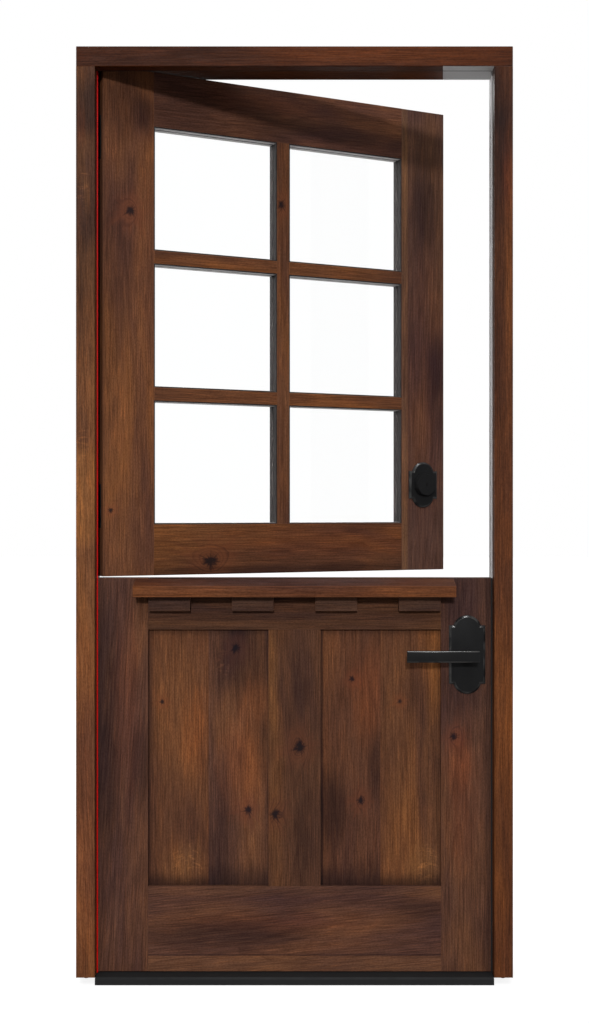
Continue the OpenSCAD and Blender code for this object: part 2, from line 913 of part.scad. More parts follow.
module upper_leaf_screws() {
    color(dark_metal)
        swing_open() {
            for (z = upper_hinge_zs)
                hinge_screws(z, true, false);
            faceplate_screws(deadbolt_z, false);
            through_screws(deadbolt_x, deadbolt_z, rose_screw_z, false);
            keeper_screws(false);
        }
}

// Deadbolt, with its plug, tailpiece and turn

module deadbolt_bolt() {
    tail_x = deadbolt_x + spindle_bore_r + case_nose_gap + bolt_tail_gap;
    tip = leaf_x - bolt_rest_gap;
    color(steel)
        swing_open()
            along_x(tail_x, tip, leaf_mid_y, deadbolt_z, bolt_r);
}

module key_plug() {
    slot_w = 2;
    slot_h = 9;
    slot_d = 10;
    plug_y = leaf_y0 - plate_t - collar_out;
    color(steel)
        swing_open()
            difference() {
                along_y(deadbolt_x, deadbolt_z, plug_y, leaf_y0, plug_r);
                box(deadbolt_x - slot_w / 2, deadbolt_x + slot_w / 2, plug_y - over, plug_y + slot_d,
                    deadbolt_z - slot_h / 2, deadbolt_z + slot_h / 2);
            }
}

module tailpiece() {
    color(steel)
        swing_open()
            box(deadbolt_x - tail_w / 2, deadbolt_x + tail_w / 2, leaf_y0, leaf_y1,
                deadbolt_z - tail_w / 2, deadbolt_z + tail_w / 2);
}

module thumb_turn() {
    turn_l = 42;
    turn_w = 12;
    turn_d = 18;
    stem_l = 3;
    turn_y = leaf_y1 + plate_t + stem_l;
    color(dark_metal)
        swing_open() {
            along_y(deadbolt_x, deadbolt_z, leaf_y1, turn_y, plug_r);
            translate([deadbolt_x, turn_y + turn_d, deadbolt_z])
                rotate([90, 0, 0])
                    linear_extrude(turn_d) {
                        square([turn_w, turn_l - turn_w], center = true);
                        for (s = [-1, 1])
                            translate([0, s * (turn_l - turn_w) / 2])
                                circle(d = turn_w);
                    }
        }
}

// Lower leaf

module lower_mortises() {
    for (side = [-1, 1]) {
        rail_tenon(side, lower_z0, panel_z0, joint_fit);
        rail_tenon(side, panel_z1, lower_z1, joint_fit);
    }
}

module lower_hinge_stile() {
    color(wood)
        difference() {
            stile(-1, lower_z0, lower_z1);
            lower_mortises();
            groove(-stile_x - groove_d, -stile_x + over, panel_z0 - groove_d,
                panel_z1 + groove_d, joint_fit);
            for (z = lower_hinge_zs)
                leaf_hinge_recess(z);
        }
}

module lower_lock_stile() {
    color(wood)
        difference() {
            stile(1, lower_z0, lower_z1);
            lower_mortises();
            groove(stile_x - over, stile_x + groove_d, panel_z0 - groove_d, panel_z1 + groove_d, joint_fit);
            lock_bores(lever_x, lever_z);
            through_screws(lever_x, lever_z, plate_screw_z, true);
        }
}

module lower_top_rail_piece() {
    color(wood)
        difference() {
            rail(panel_z1, lower_z1);
            joining_screws(true);
            groove(-stile_x - over, stile_x + over, panel_z1 - over, panel_z1 + groove_d, joint_fit);
        }
}

module lower_bottom_rail_piece() {
    color(wood)
        difference() {
            rail(lower_z0, panel_z0);
            groove(-stile_x - over, stile_x + over, panel_z0 - groove_d, panel_z0 + over, joint_fit);
        }
}

module centre_mullion() {
    half = mullion_w / 2;
    tongue = groove_d - panel_float;
    color(wood)
        difference() {
            union() {
                box(-half, half, leaf_y0, leaf_y1, panel_z0, panel_z1);
                groove(groove_d + joint_fit - half, half - groove_d - joint_fit,
                    panel_z0 - tongue, panel_z1 + tongue, 0);
            }
            groove(-half - over, -half + groove_d, panel_z0 - groove_d, panel_z1 + groove_d, joint_fit);
            groove(half - groove_d, half + over, panel_z0 - groove_d, panel_z1 + groove_d, joint_fit);
        }
}

module left_panel() {
    color(wood)
        panel(-stile_x, -mullion_w / 2);
}

module right_panel() {
    color(wood)
        panel(mullion_w / 2, stile_x);
}

module dentil_shelf() {
    back_z = lower_z1 - shelf_drop;
    nose_top = back_z - shelf_rise;
    color(wood)
        translate([-shelf_l / 2, leaf_y0, 0])
            rotate([90, 0, 90])
                linear_extrude(shelf_l)
                    polygon([
                        [0, nose_top - shelf_nose], [0, back_z], [-shelf_out, nose_top],
                        [-shelf_out, nose_top - shelf_nose]
                    ]);
}

module dentil_blocks() {
    top = lower_z1 - shelf_drop - shelf_rise - shelf_nose;
    color(wood)
        for (i = [0 : dentil_n - 1]) {
            x = (i - (dentil_n - 1) / 2) * dentil_pitch;
            box(x - dentil_w / 2, x + dentil_w / 2, leaf_y0 - dentil_out, leaf_y0, top - dentil_h, top);
        }
}

module lower_hinge_plates() {
    color(dark_metal)
        for (z = lower_hinge_zs)
            hinge_half(z, true);
}

module front_lever_plate() {
    color(dark_metal)
        difference() {
            shouldered_plate(lever_x, lever_z, leaf_y0, -1, lever_plate_h);
            along_y(lever_x, lever_z, leaf_y0 - plate_t - over, leaf_y0 + over, neck_r + pin_fit);
            through_screws(lever_x, lever_z, plate_screw_z, true);
        }
}

module rear_lever_plate() {
    color(dark_metal)
        difference() {
            shouldered_plate(lever_x, lever_z, leaf_y1, 1, lever_plate_h);
            along_y(lever_x, lever_z, leaf_y1 - over, leaf_y1 + plate_t + over, neck_r + pin_fit);
            through_screws(lever_x, lever_z, plate_screw_z, true);
        }
}

module latch_case() {
    color(steel)
        bolt_case(lever_x, lever_z);
}

module latch_faceplate() {
    color(dark_metal)
        faceplate(lever_z);
}

// A guide loop for the joining bolt, before it is bored
module joining_guide(z0, h) {
    half = joining_r + joining_wall;
    box(joining_x - half, joining_x + half, leaf_y1, joining_y, z0, z0 + h);
    translate([joining_x, joining_y, z0])
        cylinder(h = h, r = half);
}

module joining_bore() {
    translate([joining_x, joining_y, lower_z0])
        cylinder(h = upper_z1 - lower_z0, r = joining_r + lock_part_fit);
}

module joining_screws(hole) {
    for (z = joining_screw_zs, s = [-1, 1])
        translate([joining_x + s * joining_screw_x, leaf_y1 + joining_plate_t, z])
            rotate([-90, 0, 0])
                screw_or_hole(small_screw_l, screw_r, hole);
}

module keeper_screws(hole) {
    for (s = [-1, 1])
        translate([joining_x + s * joining_screw_x, leaf_y1 + joining_plate_t, keeper_screw_z])
            rotate([-90, 0, 0])
                screw_or_hole(small_screw_l, screw_r, hole);
}

module joining_bolt_base() {
    color(dark_metal)
        difference() {
            union() {
                box(joining_x - joining_plate_w / 2, joining_x + joining_plate_w / 2, leaf_y1,
                    leaf_y1 + joining_plate_t, joining_bottom + joining_plate_inset,
                    joining_top - joining_plate_inset);
                for (z = guide_zs)
                    joining_guide(z, guide_h);
            }
            joining_bore();
            joining_screws(true);
        }
}

module lower_leaf_screws() {
    color(dark_metal) {
        for (z = lower_hinge_zs)
            hinge_screws(z, true, false);
        faceplate_screws(lever_z, false);
        through_screws(lever_x, lever_z, plate_screw_z, false);
        joining_screws(false);
    }
}

// Levers, latch bolt and joining bolt

module front_lever() {
    color(dark_metal)
        lever(leaf_y0, -1);
}

module lever_spindle() {
    color(steel)
        spindle(0);
}

module rear_lever() {
    color(dark_metal)
        lever(leaf_y1, 1);
}

module latch_bolt() {
    tail_x = lever_x + spindle_bore_r + case_nose_gap + latch_throw + bolt_tail_gap;
    tip = leaf_x + latch_throw - 2 * bolt_rest_gap;
    color(steel)
        difference() {
            along_x(tail_x, tip, leaf_mid_y, lever_z, bolt_r);
            translate([tip, leaf_mid_y - bolt_r, lever_z])
                rotate([0, 0, 45])
                    cube([2 * bolt_r, 1.2 * bolt_r, 4 * bolt_r], center = true);
        }
}

module joining_bolt() {
    knob_r = 5;
    knob_l = 24;
    knob_gap = 2;
    knob_z = guide_zs[0] + guide_h + knob_r + knob_gap;
    color(dark_metal) {
        translate([joining_x, joining_y, joining_bottom])
            cylinder(h = joining_l, r = joining_r);
        along_y(joining_x, knob_z, joining_y, joining_y + knob_l, knob_r);
    }
}

hinge_jamb();
strike_jamb();
head_jamb();
threshold();
hinge_side_seal();
strike_side_seal();
head_seal();
hinge_jamb_plates();
hinge_pins();
latch_strike();
deadbolt_strike();
frame_screws();
upper_hinge_stile();
upper_lock_stile();
upper_top_rail_piece();
upper_bottom_rail_piece();
vertical_muntin();
horizontal_muntins();
glass_panes();
front_glazing_liners();
rear_glazing_liners();
upper_hinge_plates();
deadbolt_plate();
deadbolt_collar();
deadbolt_rear_rose();
deadbolt_case();
deadbolt_faceplate();
joining_bolt_keeper();
upper_leaf_screws();
deadbolt_bolt();
key_plug();
tailpiece();
thumb_turn();
lower_hinge_stile();
lower_lock_stile();
lower_top_rail_piece();
lower_bottom_rail_piece();
centre_mullion();
left_panel();
right_panel();
dentil_shelf();
dentil_blocks();
lower_hinge_plates();
front_lever_plate();
rear_lever_plate();
latch_case();
latch_faceplate();
joining_bolt_base();
lower_leaf_screws();
front_lever();
lever_spindle();
rear_lever();
latch_bolt();
joining_bolt();
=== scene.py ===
import json
import math

import bmesh
import bpy
import numpy as np
from mathutils import Euler, Matrix, Vector

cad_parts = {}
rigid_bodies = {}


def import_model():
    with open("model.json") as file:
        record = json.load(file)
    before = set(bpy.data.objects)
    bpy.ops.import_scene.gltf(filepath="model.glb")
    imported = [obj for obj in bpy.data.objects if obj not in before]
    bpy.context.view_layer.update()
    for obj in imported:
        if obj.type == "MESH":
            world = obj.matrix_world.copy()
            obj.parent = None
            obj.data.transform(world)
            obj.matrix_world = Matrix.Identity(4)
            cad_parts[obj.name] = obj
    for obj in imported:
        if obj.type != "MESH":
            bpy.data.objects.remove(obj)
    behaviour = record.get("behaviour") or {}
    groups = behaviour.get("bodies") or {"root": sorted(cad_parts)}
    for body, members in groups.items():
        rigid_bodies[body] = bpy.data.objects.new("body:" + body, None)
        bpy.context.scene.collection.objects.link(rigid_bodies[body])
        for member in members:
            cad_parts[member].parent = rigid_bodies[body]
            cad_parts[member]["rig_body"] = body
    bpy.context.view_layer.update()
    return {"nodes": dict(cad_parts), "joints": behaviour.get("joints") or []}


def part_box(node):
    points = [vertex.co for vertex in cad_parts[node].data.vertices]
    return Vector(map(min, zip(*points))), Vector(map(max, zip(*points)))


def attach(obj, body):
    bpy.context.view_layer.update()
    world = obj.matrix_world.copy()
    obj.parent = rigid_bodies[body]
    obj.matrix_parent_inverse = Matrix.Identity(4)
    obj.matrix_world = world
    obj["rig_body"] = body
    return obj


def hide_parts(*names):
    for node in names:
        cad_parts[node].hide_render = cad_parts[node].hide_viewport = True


# A Dutch stable door in its frame, dressed in the order in which it is put together
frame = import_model()

# Threshold
# A flat bar of black anodised aluminium with a bevelled front edge, drawn through a die.
# It lies under the jambs and is screwed up into their feet.

def tone(red, green, blue):
    """A colour as a paint chart gives it, 0 to 255, in the linear values that shaders take."""
    parts = [c / 255 for c in (red, green, blue)]
    return (*[c / 12.92 if c <= 0.04045 else ((c + 0.055) / 1.055) ** 2.4 for c in parts], 1.0)


def put(tree, kind, values=None, **settings):
    """A new shader node. Values maps an input's name or number to a constant or to the socket feeding it."""
    node = tree.nodes.new("ShaderNode" + kind)
    for key, value in settings.items():
        setattr(node, key, value)
    for key, value in (values or {}).items():
        if isinstance(value, bpy.types.NodeSocket):
            tree.links.new(value, node.inputs[key])
        else:
            node.inputs[key].default_value = value
    return node


def sums(tree, operation, *values):
    """The result of one operation on numbers."""
    return put(tree, "Math", dict(enumerate(values)), operation=operation).outputs[0]


def vectors(tree, operation, *values):
    """The result of one operation on vectors."""
    return put(tree, "VectorMath", dict(enumerate(values)), operation=operation).outputs[0]


def laid_over(tree, share, under, over, blend="MIX"):
    """Colour over, laid on colour under by its share."""
    values = {0: share, 6: under, 7: over}
    return put(tree, "Mix", values, data_type="RGBA", blend_type=blend).outputs[2]


def eased_range(tree, value, low, high, at_low=0.0, at_high=1.0):
    """Runs smoothly from at_low to at_high as the value goes from low to high."""
    values = dict(enumerate((value, low, high, at_low, at_high)))
    return put(tree, "MapRange", values, interpolation_type="SMOOTHSTEP").outputs[0]


def cloud(tree, place, stretch, detail=2.0, distortion=0.0):
    """Noise from 0 to 1, with stretch giving how many spots a metre holds along each axis."""
    values = {"Vector": vectors(tree, "MULTIPLY", place, stretch), "Scale": 1.0, "Detail": detail}
    return put(tree, "TexNoise", {**values, "Distortion": distortion}).outputs[0]


def shader_group(name, inputs, outputs):
    """An empty group: its tree, the sockets that bring its inputs in, and those that take its outputs."""
    tree = bpy.data.node_groups.new(name, "ShaderNodeTree")
    for label, value in inputs.items():
        kind = {float: "Float"}.get(type(value)) or {3: "Vector", 4: "Color"}[len(value)]
        socket = tree.interface.new_socket(label, in_out="INPUT", socket_type="NodeSocket" + kind)
        socket.default_value = value
    for label, kind in outputs.items():
        tree.interface.new_socket(label, in_out="OUTPUT", socket_type="NodeSocket" + kind)
    return tree, tree.nodes.new("NodeGroupInput").outputs, tree.nodes.new("NodeGroupOutput").inputs


def grouped(tree, group, values):
    """The outputs of a group placed in a tree."""
    return put(tree, "Group", values, node_tree=group).outputs


def new_material(name, **settings):
    """A material's own tree, its surface shader with plain settings, and its object coordinates."""
    material = bpy.data.materials.new(name)
    material.use_nodes = True
    tree = material.node_tree
    surface = tree.nodes["Principled BSDF"]
    for key, value in settings.items():
        surface.inputs[key.replace("_", " ")].default_value = value
    place = put(tree, "TexCoord").outputs["Object"]
    return material, tree, surface, place


def raised(tree, surface, height, depth, strength=1.0):
    """Gives the surface a relief of the given depth in metres."""
    values = {"Height": height, "Distance": depth, "Strength": strength}
    tree.links.new(put(tree, "Bump", values).outputs[0], surface.inputs["Normal"])


# Handling and weather: broad clouds, fine specks, and rubbed arrises where a piece carries that mark
handling, taken, given = shader_group(
    "handling",
    {"Vector": (0.0, 0.0, 0.0), "Cloud Size": 0.05, "Speck Size": 0.0012},
    {"Cloud": "Float", "Speck": "Float", "Rub": "Float", "Arris": "Float"},
)
for size, label, detail in (("Cloud Size", "Cloud", 3.0), ("Speck Size", "Speck", 1.0)):
    scale = sums(handling, "DIVIDE", 1.0, taken[size])
    values = {"Vector": taken["Vector"], "Scale": scale, "Detail": detail}
    handling.links.new(put(handling, "TexNoise", values).outputs[0], given[label])
arris_mark = put(handling, "Attribute", attribute_name="arris").outputs["Fac"]
RUB_SPOTS = 38.0
rub_break = put(handling, "TexNoise", {"Vector": taken["Vector"], "Scale": RUB_SPOTS, "Detail": 3.0}).outputs[0]
rub = sums(handling, "MULTIPLY", arris_mark, eased_range(handling, rub_break, 0.40, 0.66))
handling.links.new(rub, given["Rub"])
handling.links.new(arris_mark, given["Arris"])

# How near points count as one, how far faces turn at a flat joint, an arris and a soft edge,
# and between which cosines to the widest face a slope counts as a bevel
MERGE_REACH = 2e-6
FLAT_TURN, ARRIS_TURN, SOFT_TURN = math.radians(0.5), math.radians(25), math.radians(20)
BEVEL_STEEP, BEVEL_SHALLOW = 0.45, 0.90


def merged(node):
    """A node's solid with its triangles joined at their corners."""
    shape = bmesh.new()
    shape.from_mesh(frame["nodes"][node].data)
    bmesh.ops.remove_doubles(shape, verts=shape.verts, dist=MERGE_REACH)
    return shape


def finished(node, shape, material):
    """The piece that a shape gives, riding in a node's place and standing for it."""
    mesh = bpy.data.meshes.new(node + "_finished")
    shape.to_mesh(mesh)
    shape.free()
    mesh.materials.append(material)
    piece = bpy.data.objects.new(node + "_finished", mesh)
    bpy.context.scene.collection.objects.link(piece)
    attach(piece, frame["nodes"][node]["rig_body"])
    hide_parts(node)
    return piece


def eased_copy(node, ease, material):
    """A copy of a node with its outer arrises eased.
    The easings, and the bevels on its widest face, carry the arris mark."""
    shape = merged(node)
    bmesh.ops.dissolve_limit(shape, angle_limit=FLAT_TURN, verts=shape.verts, edges=shape.edges)
    mark = shape.faces.layers.float.new("arris")
    arrises = [
        edge for edge in shape.edges
        if edge.is_manifold and edge.is_convex and edge.calc_length() > 3 * ease
        and edge.calc_face_angle() > ARRIS_TURN
    ]
    eased = bmesh.ops.bevel(
        shape, geom=arrises, offset=ease, offset_type="OFFSET", segments=2, profile=0.5,
        affect="EDGES", clamp_overlap=True,
    )
    for face in eased["faces"]:
        face[mark] = 1.0
    widest = max(shape.faces, key=lambda face: face.calc_area()).normal
    for face in shape.faces:
        face.smooth = True
        if BEVEL_STEEP < abs(face.normal.dot(widest)) < BEVEL_SHALLOW:
            face[mark] = 1.0
    for edge in shape.edges:
        edge.smooth = edge.is_manifold and edge.calc_face_angle() < SOFT_TURN
    return finished(node, shape, material)


sill_black, tree, surface, place = new_material("anodised_sill", Specular_IOR_Level=0.03)
marks = grouped(tree, handling, {"Vector": place, "Cloud Size": 0.16})
DRAW_LINES = (3.0, 900.0, 900.0)
draw_lines = cloud(tree, place, DRAW_LINES, 1.0)
sill_tone = laid_over(tree, marks["Cloud"], tone(33, 33, 34), tone(38, 38, 38))
sill_tone = laid_over(tree, eased_range(tree, draw_lines, 0.3, 0.7, 0.0, 0.25), sill_tone, tone(29, 29, 30))
sill_tone = laid_over(tree, sums(tree, "MULTIPLY", marks["Rub"], 0.3), sill_tone, tone(48, 48, 49))
tree.links.new(sill_tone, surface.inputs["Base Color"])
tree.links.new(eased_range(tree, marks["Cloud"], 0.3, 0.7, 0.46, 0.60), surface.inputs["Roughness"])
raised(tree, surface, draw_lines, depth=0.00008)
EXTRUDED_EASE = 0.0006
eased_copy("threshold", EXTRUDED_EASE, sill_black)

# Side jambs
# Two uprights of knotty alder with a stop along the front and a rabbet behind it, stained dark walnut.
# They stand on the ends of the threshold, and the leaves hang on one and latch into the other.

def span(tree, vector):
    """How long a vector is."""
    return put(tree, "VectorMath", {0: vector}, operation="LENGTH").outputs["Value"]


def sway(tree, place, stretch, detail):
    """Noise from -0.5 to 0.5, with stretch as for a cloud."""
    return sums(tree, "SUBTRACT", cloud(tree, place, stretch, detail), 0.5)


# What keeps the two directions in a board's face, along and across its grain
ON_FACE = (1.0, 1.0, 0.0)

# A knot: the growth rings dip into it, its heart is nearly black and the wood round it is flame-coloured
knot, taken, given = shader_group(
    "knot",
    {"Vector": (0.0, 0.0, 0.0), "Centre": (0.0, 0.0, 0.0), "Radius": 0.01},
    {"Dip": "Float", "Heart": "Float", "Flame": "Float"},
)
offset = vectors(knot, "SUBTRACT", taken["Vector"], taken["Centre"])
KNOT_RAGS, KNOT_ARMS = (90.0, 130.0, 130.0), (2.4, 2.4, 2.4)
KNOT_ROUND = (0.80, 1.0, 0.0)
ragged = sway(knot, taken["Vector"], KNOT_RAGS, 3.0)
flat = vectors(knot, "MULTIPLY", offset, KNOT_ROUND)
round_reach = span(knot, flat)
outward = vectors(knot, "ADD", vectors(knot, "NORMALIZE", flat), taken["Centre"])
arms = sway(knot, outward, KNOT_ARMS, 2.0)
reach = sums(knot, "MULTIPLY", round_reach, sums(knot, "MULTIPLY_ADD", arms, 2.2, 1.0))
reach = sums(knot, "MULTIPLY_ADD", ragged, sums(knot, "MULTIPLY", taken["Radius"], 1.6), reach)
slope = sums(knot, "MULTIPLY", sums(knot, "SUBTRACT", round_reach, taken["Radius"]), 1.6)
dip_reach = sums(knot, "MULTIPLY", taken["Radius"], 7.0)
knot.links.new(sums(knot, "SMOOTH_MIN", slope, 0.0, dip_reach), given["Dip"])
share = sums(knot, "DIVIDE", reach, taken["Radius"])
knot.links.new(eased_range(knot, share, 1.7, 0.35), given["Heart"])
knot.links.new(eased_range(knot, share, 5.5, 1.2), given["Flame"])

# A patch of darker or lighter colour, ragged along the grain: stain the board took, and at some places painted
# shade
stain_and_shade_patch, taken, given = shader_group(
    "stain_and_shade_patch",
    {"Vector": (0.0, 0.0, 0.0), "Centre": (0.0, 0.0, 0.0), "Reach": (0.1, 0.03, 1.0), "Soft": 0.7},
    {"Mask": "Float"},
)
offset = vectors(stain_and_shade_patch, "SUBTRACT", taken["Vector"], taken["Centre"])
offset = vectors(stain_and_shade_patch, "MULTIPLY", offset, ON_FACE)
reach = span(stain_and_shade_patch, vectors(stain_and_shade_patch, "DIVIDE", offset, taken["Reach"]))
PATCH_RAGS = (9.0, 55.0, 55.0)
ragged = sway(stain_and_shade_patch, taken["Vector"], PATCH_RAGS, 3.0)
ragged = sums(stain_and_shade_patch, "MULTIPLY", ragged, sums(stain_and_shade_patch, "MULTIPLY", taken["Soft"], 1.8))
reach = sums(stain_and_shade_patch, "ADD", reach, ragged)
inner = sums(stain_and_shade_patch, "SUBTRACT", 1.0, taken["Soft"])
outer = sums(stain_and_shade_patch, "ADD", 1.0, taken["Soft"])
stain_and_shade_patch.links.new(eased_range(stain_and_shade_patch, reach, outer, inner), given["Mask"])

# A feather: pale arched fibres where a branch left the trunk
feather, taken, given = shader_group(
    "feather",
    {"Vector": (0.0, 0.0, 0.0), "Centre": (0.0, 0.0, 0.0), "Reach": (0.04, 0.03, 1.0)},
    {"Mask": "Float"},
)
offset = vectors(feather, "SUBTRACT", taken["Vector"], taken["Centre"])
offset = vectors(feather, "MULTIPLY", offset, ON_FACE)
aside = put(feather, "SeparateXYZ", {0: offset}).outputs
ARCH_BEND, ARCH_LINES = 9.0, (120.0, 34.0, 34.0)
arch = sums(feather, "MULTIPLY_ADD", sums(feather, "MULTIPLY", aside[1], aside[1]), ARCH_BEND, aside[0])
arch = put(feather, "CombineXYZ", {0: arch, 1: aside[1]}).outputs[0]
arch = vectors(feather, "ADD", arch, taken["Centre"])
lines = eased_range(feather, cloud(feather, arch, ARCH_LINES, 4.0, 1.0), 0.54, 0.62)
reach = span(feather, vectors(feather, "DIVIDE", offset, taken["Reach"]))
window = eased_range(feather, reach, 1.0, 0.35)
feather.links.new(sums(feather, "MULTIPLY", lines, window), given["Mask"])

# The board itself: rings of the trunk cut by its faces, long fibres, pores, flecks and clouded stain.
# The rings' width and how far they stray are in metres, and each mark has so many spots to a metre
# along, across and through the grain.
RING_WIDTH, RING_WANDER, RING_RIPPLE = 0.0034, 0.075, 0.007
WANDERS, RIPPLES = (0.9, 5.0, 5.0), (7.0, 34.0, 34.0)
FIBRES, STREAKS, BRIGHT_FIBRES = (16.0, 620.0, 620.0), (4.0, 210.0, 210.0), (22.0, 480.0, 480.0)
PORES, FLECKS = (75.0, 1300.0, 1300.0), (190.0, 400.0, 400.0)
BLOTCHES, FLUSHES, FIGURE = (1.8, 6.0, 6.0), (2.0, 9.0, 9.0), (9.0, 34.0, 34.0)
# Where in the noise each board, the bright fibres and the flushes are taken from
SEED_STEP, BRIGHT_STEP, FLUSH_STEP = (3.17, 5.31, 7.93), (2.0, 7.0, 4.0), (11.0, 3.0, 5.0)
alder, taken, given = shader_group(
    "stained_alder",
    {
        "Vector": (0.0, 0.0, 0.0), "Seed": 0.0, "Pith": (0.0, 0.0, 0.12),
        "Dip": 0.0, "Heart": 0.0, "Flame": 0.0,
        "Body": tone(116, 74, 50), "Deep": tone(86, 55, 44), "Bright": tone(142, 88, 50),
    },
    {"Color": "Color", "Roughness": "Float", "Height": "Float"},
)
here = taken["Vector"]
shifted = put(alder, "VectorMath", {0: SEED_STEP, "Scale": taken["Seed"]}, operation="SCALE").outputs[0]
shifted = vectors(alder, "ADD", here, shifted)
wander = sway(alder, shifted, WANDERS, 1.0)
ripple = sway(alder, shifted, RIPPLES, 2.0)
from_pith = vectors(alder, "MULTIPLY", vectors(alder, "ADD", here, taken["Pith"]), (0.0, 1.0, 1.0))
radius = span(alder, from_pith)
radius = sums(alder, "MULTIPLY_ADD", wander, RING_WANDER, radius)
radius = sums(alder, "MULTIPLY_ADD", ripple, RING_RIPPLE, radius)
radius = sums(alder, "ADD", radius, taken["Dip"])
ring = sums(alder, "DIVIDE", radius, RING_WIDTH)
year = put(alder, "TexWhiteNoise", {"W": sums(alder, "FLOOR", ring)}, noise_dimensions="1D").outputs["Value"]
season = sums(alder, "FRACT", ring)
late = sums(alder, "MULTIPLY", eased_range(alder, season, 0.35, 0.92), eased_range(alder, season, 1.0, 0.93))
late = sums(alder, "MULTIPLY", late, eased_range(alder, year, 0.1, 1.0, 0.15, 1.0))
fibre = cloud(alder, shifted, FIBRES, 3.0)
streak = cloud(alder, shifted, STREAKS, 3.0)
bright_fibre = cloud(alder, vectors(alder, "ADD", shifted, BRIGHT_STEP), BRIGHT_FIBRES, 2.0)
pore = eased_range(alder, cloud(alder, shifted, PORES, 1.0), 0.62, 0.74)
fleck = cloud(alder, shifted, FLECKS, 2.0)
blotch = cloud(alder, shifted, BLOTCHES, 2.0, 0.4)
flush = cloud(alder, vectors(alder, "ADD", shifted, FLUSH_STEP), FLUSHES, 2.0, 0.5)
figure = cloud(alder, shifted, FIGURE, 5.0, 1.0)
colour = laid_over(alder, eased_range(alder, blotch, 0.36, 0.68), taken["Body"], taken["Deep"])
colour = laid_over(alder, eased_range(alder, flush, 0.42, 0.74, 0.0, 0.75), colour, taken["Bright"])
for mask, strength, shade in (
    (eased_range(alder, streak, 0.36, 0.68), 0.40, (0.52, 0.50, 0.52, 1.0)),
    (eased_range(alder, fibre, 0.40, 0.64), 0.70, (0.50, 0.46, 0.46, 1.0)),
    (eased_range(alder, fleck, 0.40, 0.66), 0.42, (0.50, 0.46, 0.46, 1.0)),
    (late, 0.40, (0.50, 0.46, 0.48, 1.0)),
    (eased_range(alder, figure, 0.55, 0.30), 0.18, (0.52, 0.52, 0.58, 1.0)),
    (pore, 0.45, (0.40, 0.38, 0.40, 1.0)),
):
    colour = laid_over(alder, sums(alder, "MULTIPLY", mask, strength), colour, shade, "MULTIPLY")
lift = sums(alder, "MULTIPLY", eased_range(alder, figure, 0.50, 0.75), 0.34)
colour = laid_over(alder, lift, colour, (1.50, 1.38, 1.22, 1.0), "MULTIPLY")
shine = eased_range(alder, bright_fibre, 0.50, 0.70, 0.0, 0.55)
colour = laid_over(alder, shine, colour, (1.60, 1.45, 1.20, 1.0), "MULTIPLY")
colour = laid_over(alder, sums(alder, "MULTIPLY", taken["Flame"], 0.50), colour, tone(112, 62, 40))
flame_rings = sums(alder, "MULTIPLY", late, sums(alder, "MULTIPLY", taken["Flame"], 0.5))
colour = laid_over(alder, flame_rings, colour, tone(54, 34, 30))
colour = laid_over(alder, sums(alder, "MULTIPLY", taken["Heart"], 0.92), colour, tone(25, 20, 22))
edge = put(alder, "Attribute", attribute_name="arris").outputs["Fac"]
edge = sums(alder, "MULTIPLY", edge, eased_range(alder, streak, 0.3, 0.6, 0.10, 0.55))
colour = laid_over(alder, edge, colour, tone(126, 80, 54))
alder.links.new(colour, given["Color"])
alder.links.new(eased_range(alder, fibre, 0.3, 0.7, 0.40, 0.56), given["Roughness"])
relief = sums(alder, "ADD", sums(alder, "MULTIPLY", late, 0.5), sums(alder, "MULTIPLY", fibre, 0.6))
alder.links.new(sums(alder, "SUBTRACT", relief, pore), given["Height"])

# How a board lies: the directions along, across and through its grain, as columns
UPRIGHT = Matrix(((0, 1, 0), (0, 0, 1), (1, 0, 0)))
LEVEL = Matrix(((1, 0, 0), (0, 0, -1), (0, 1, 0)))
# How a patch or a feather changes the stained colour
DARK = (0.24, 0.27, 0.42, 1.0)
RUDDY = (1.15, 0.82, 0.76, 1.0)
AMBER = (1.70, 1.70, 1.25, 1.0)
ORANGE = (1.60, 1.22, 0.85, 1.0)
TAN = (2.40, 2.80, 2.20, 1.0)
PALE = (2.10, 2.00, 1.70, 1.0)
# How strongly feathers and the painted shade at a rim show, and the depth of the grain in metres
FEATHER_SHARE, RIM_SHADE_SHARE, RIM_SHADE_CORE = 0.45, 0.35, 0.2
GRAIN_DEPTH, GRAIN_STRENGTH = 0.00025, 0.6
no_swing = Matrix.Identity(4)


def closed_box(node, swing=no_swing):
    """The lowest and highest corner of a node with its leaf shut."""
    back = swing.inverted()
    corners = np.array([back @ v.co for v in frame["nodes"][node].data.vertices])
    return Vector(corners.min(0)), Vector(corners.max(0))


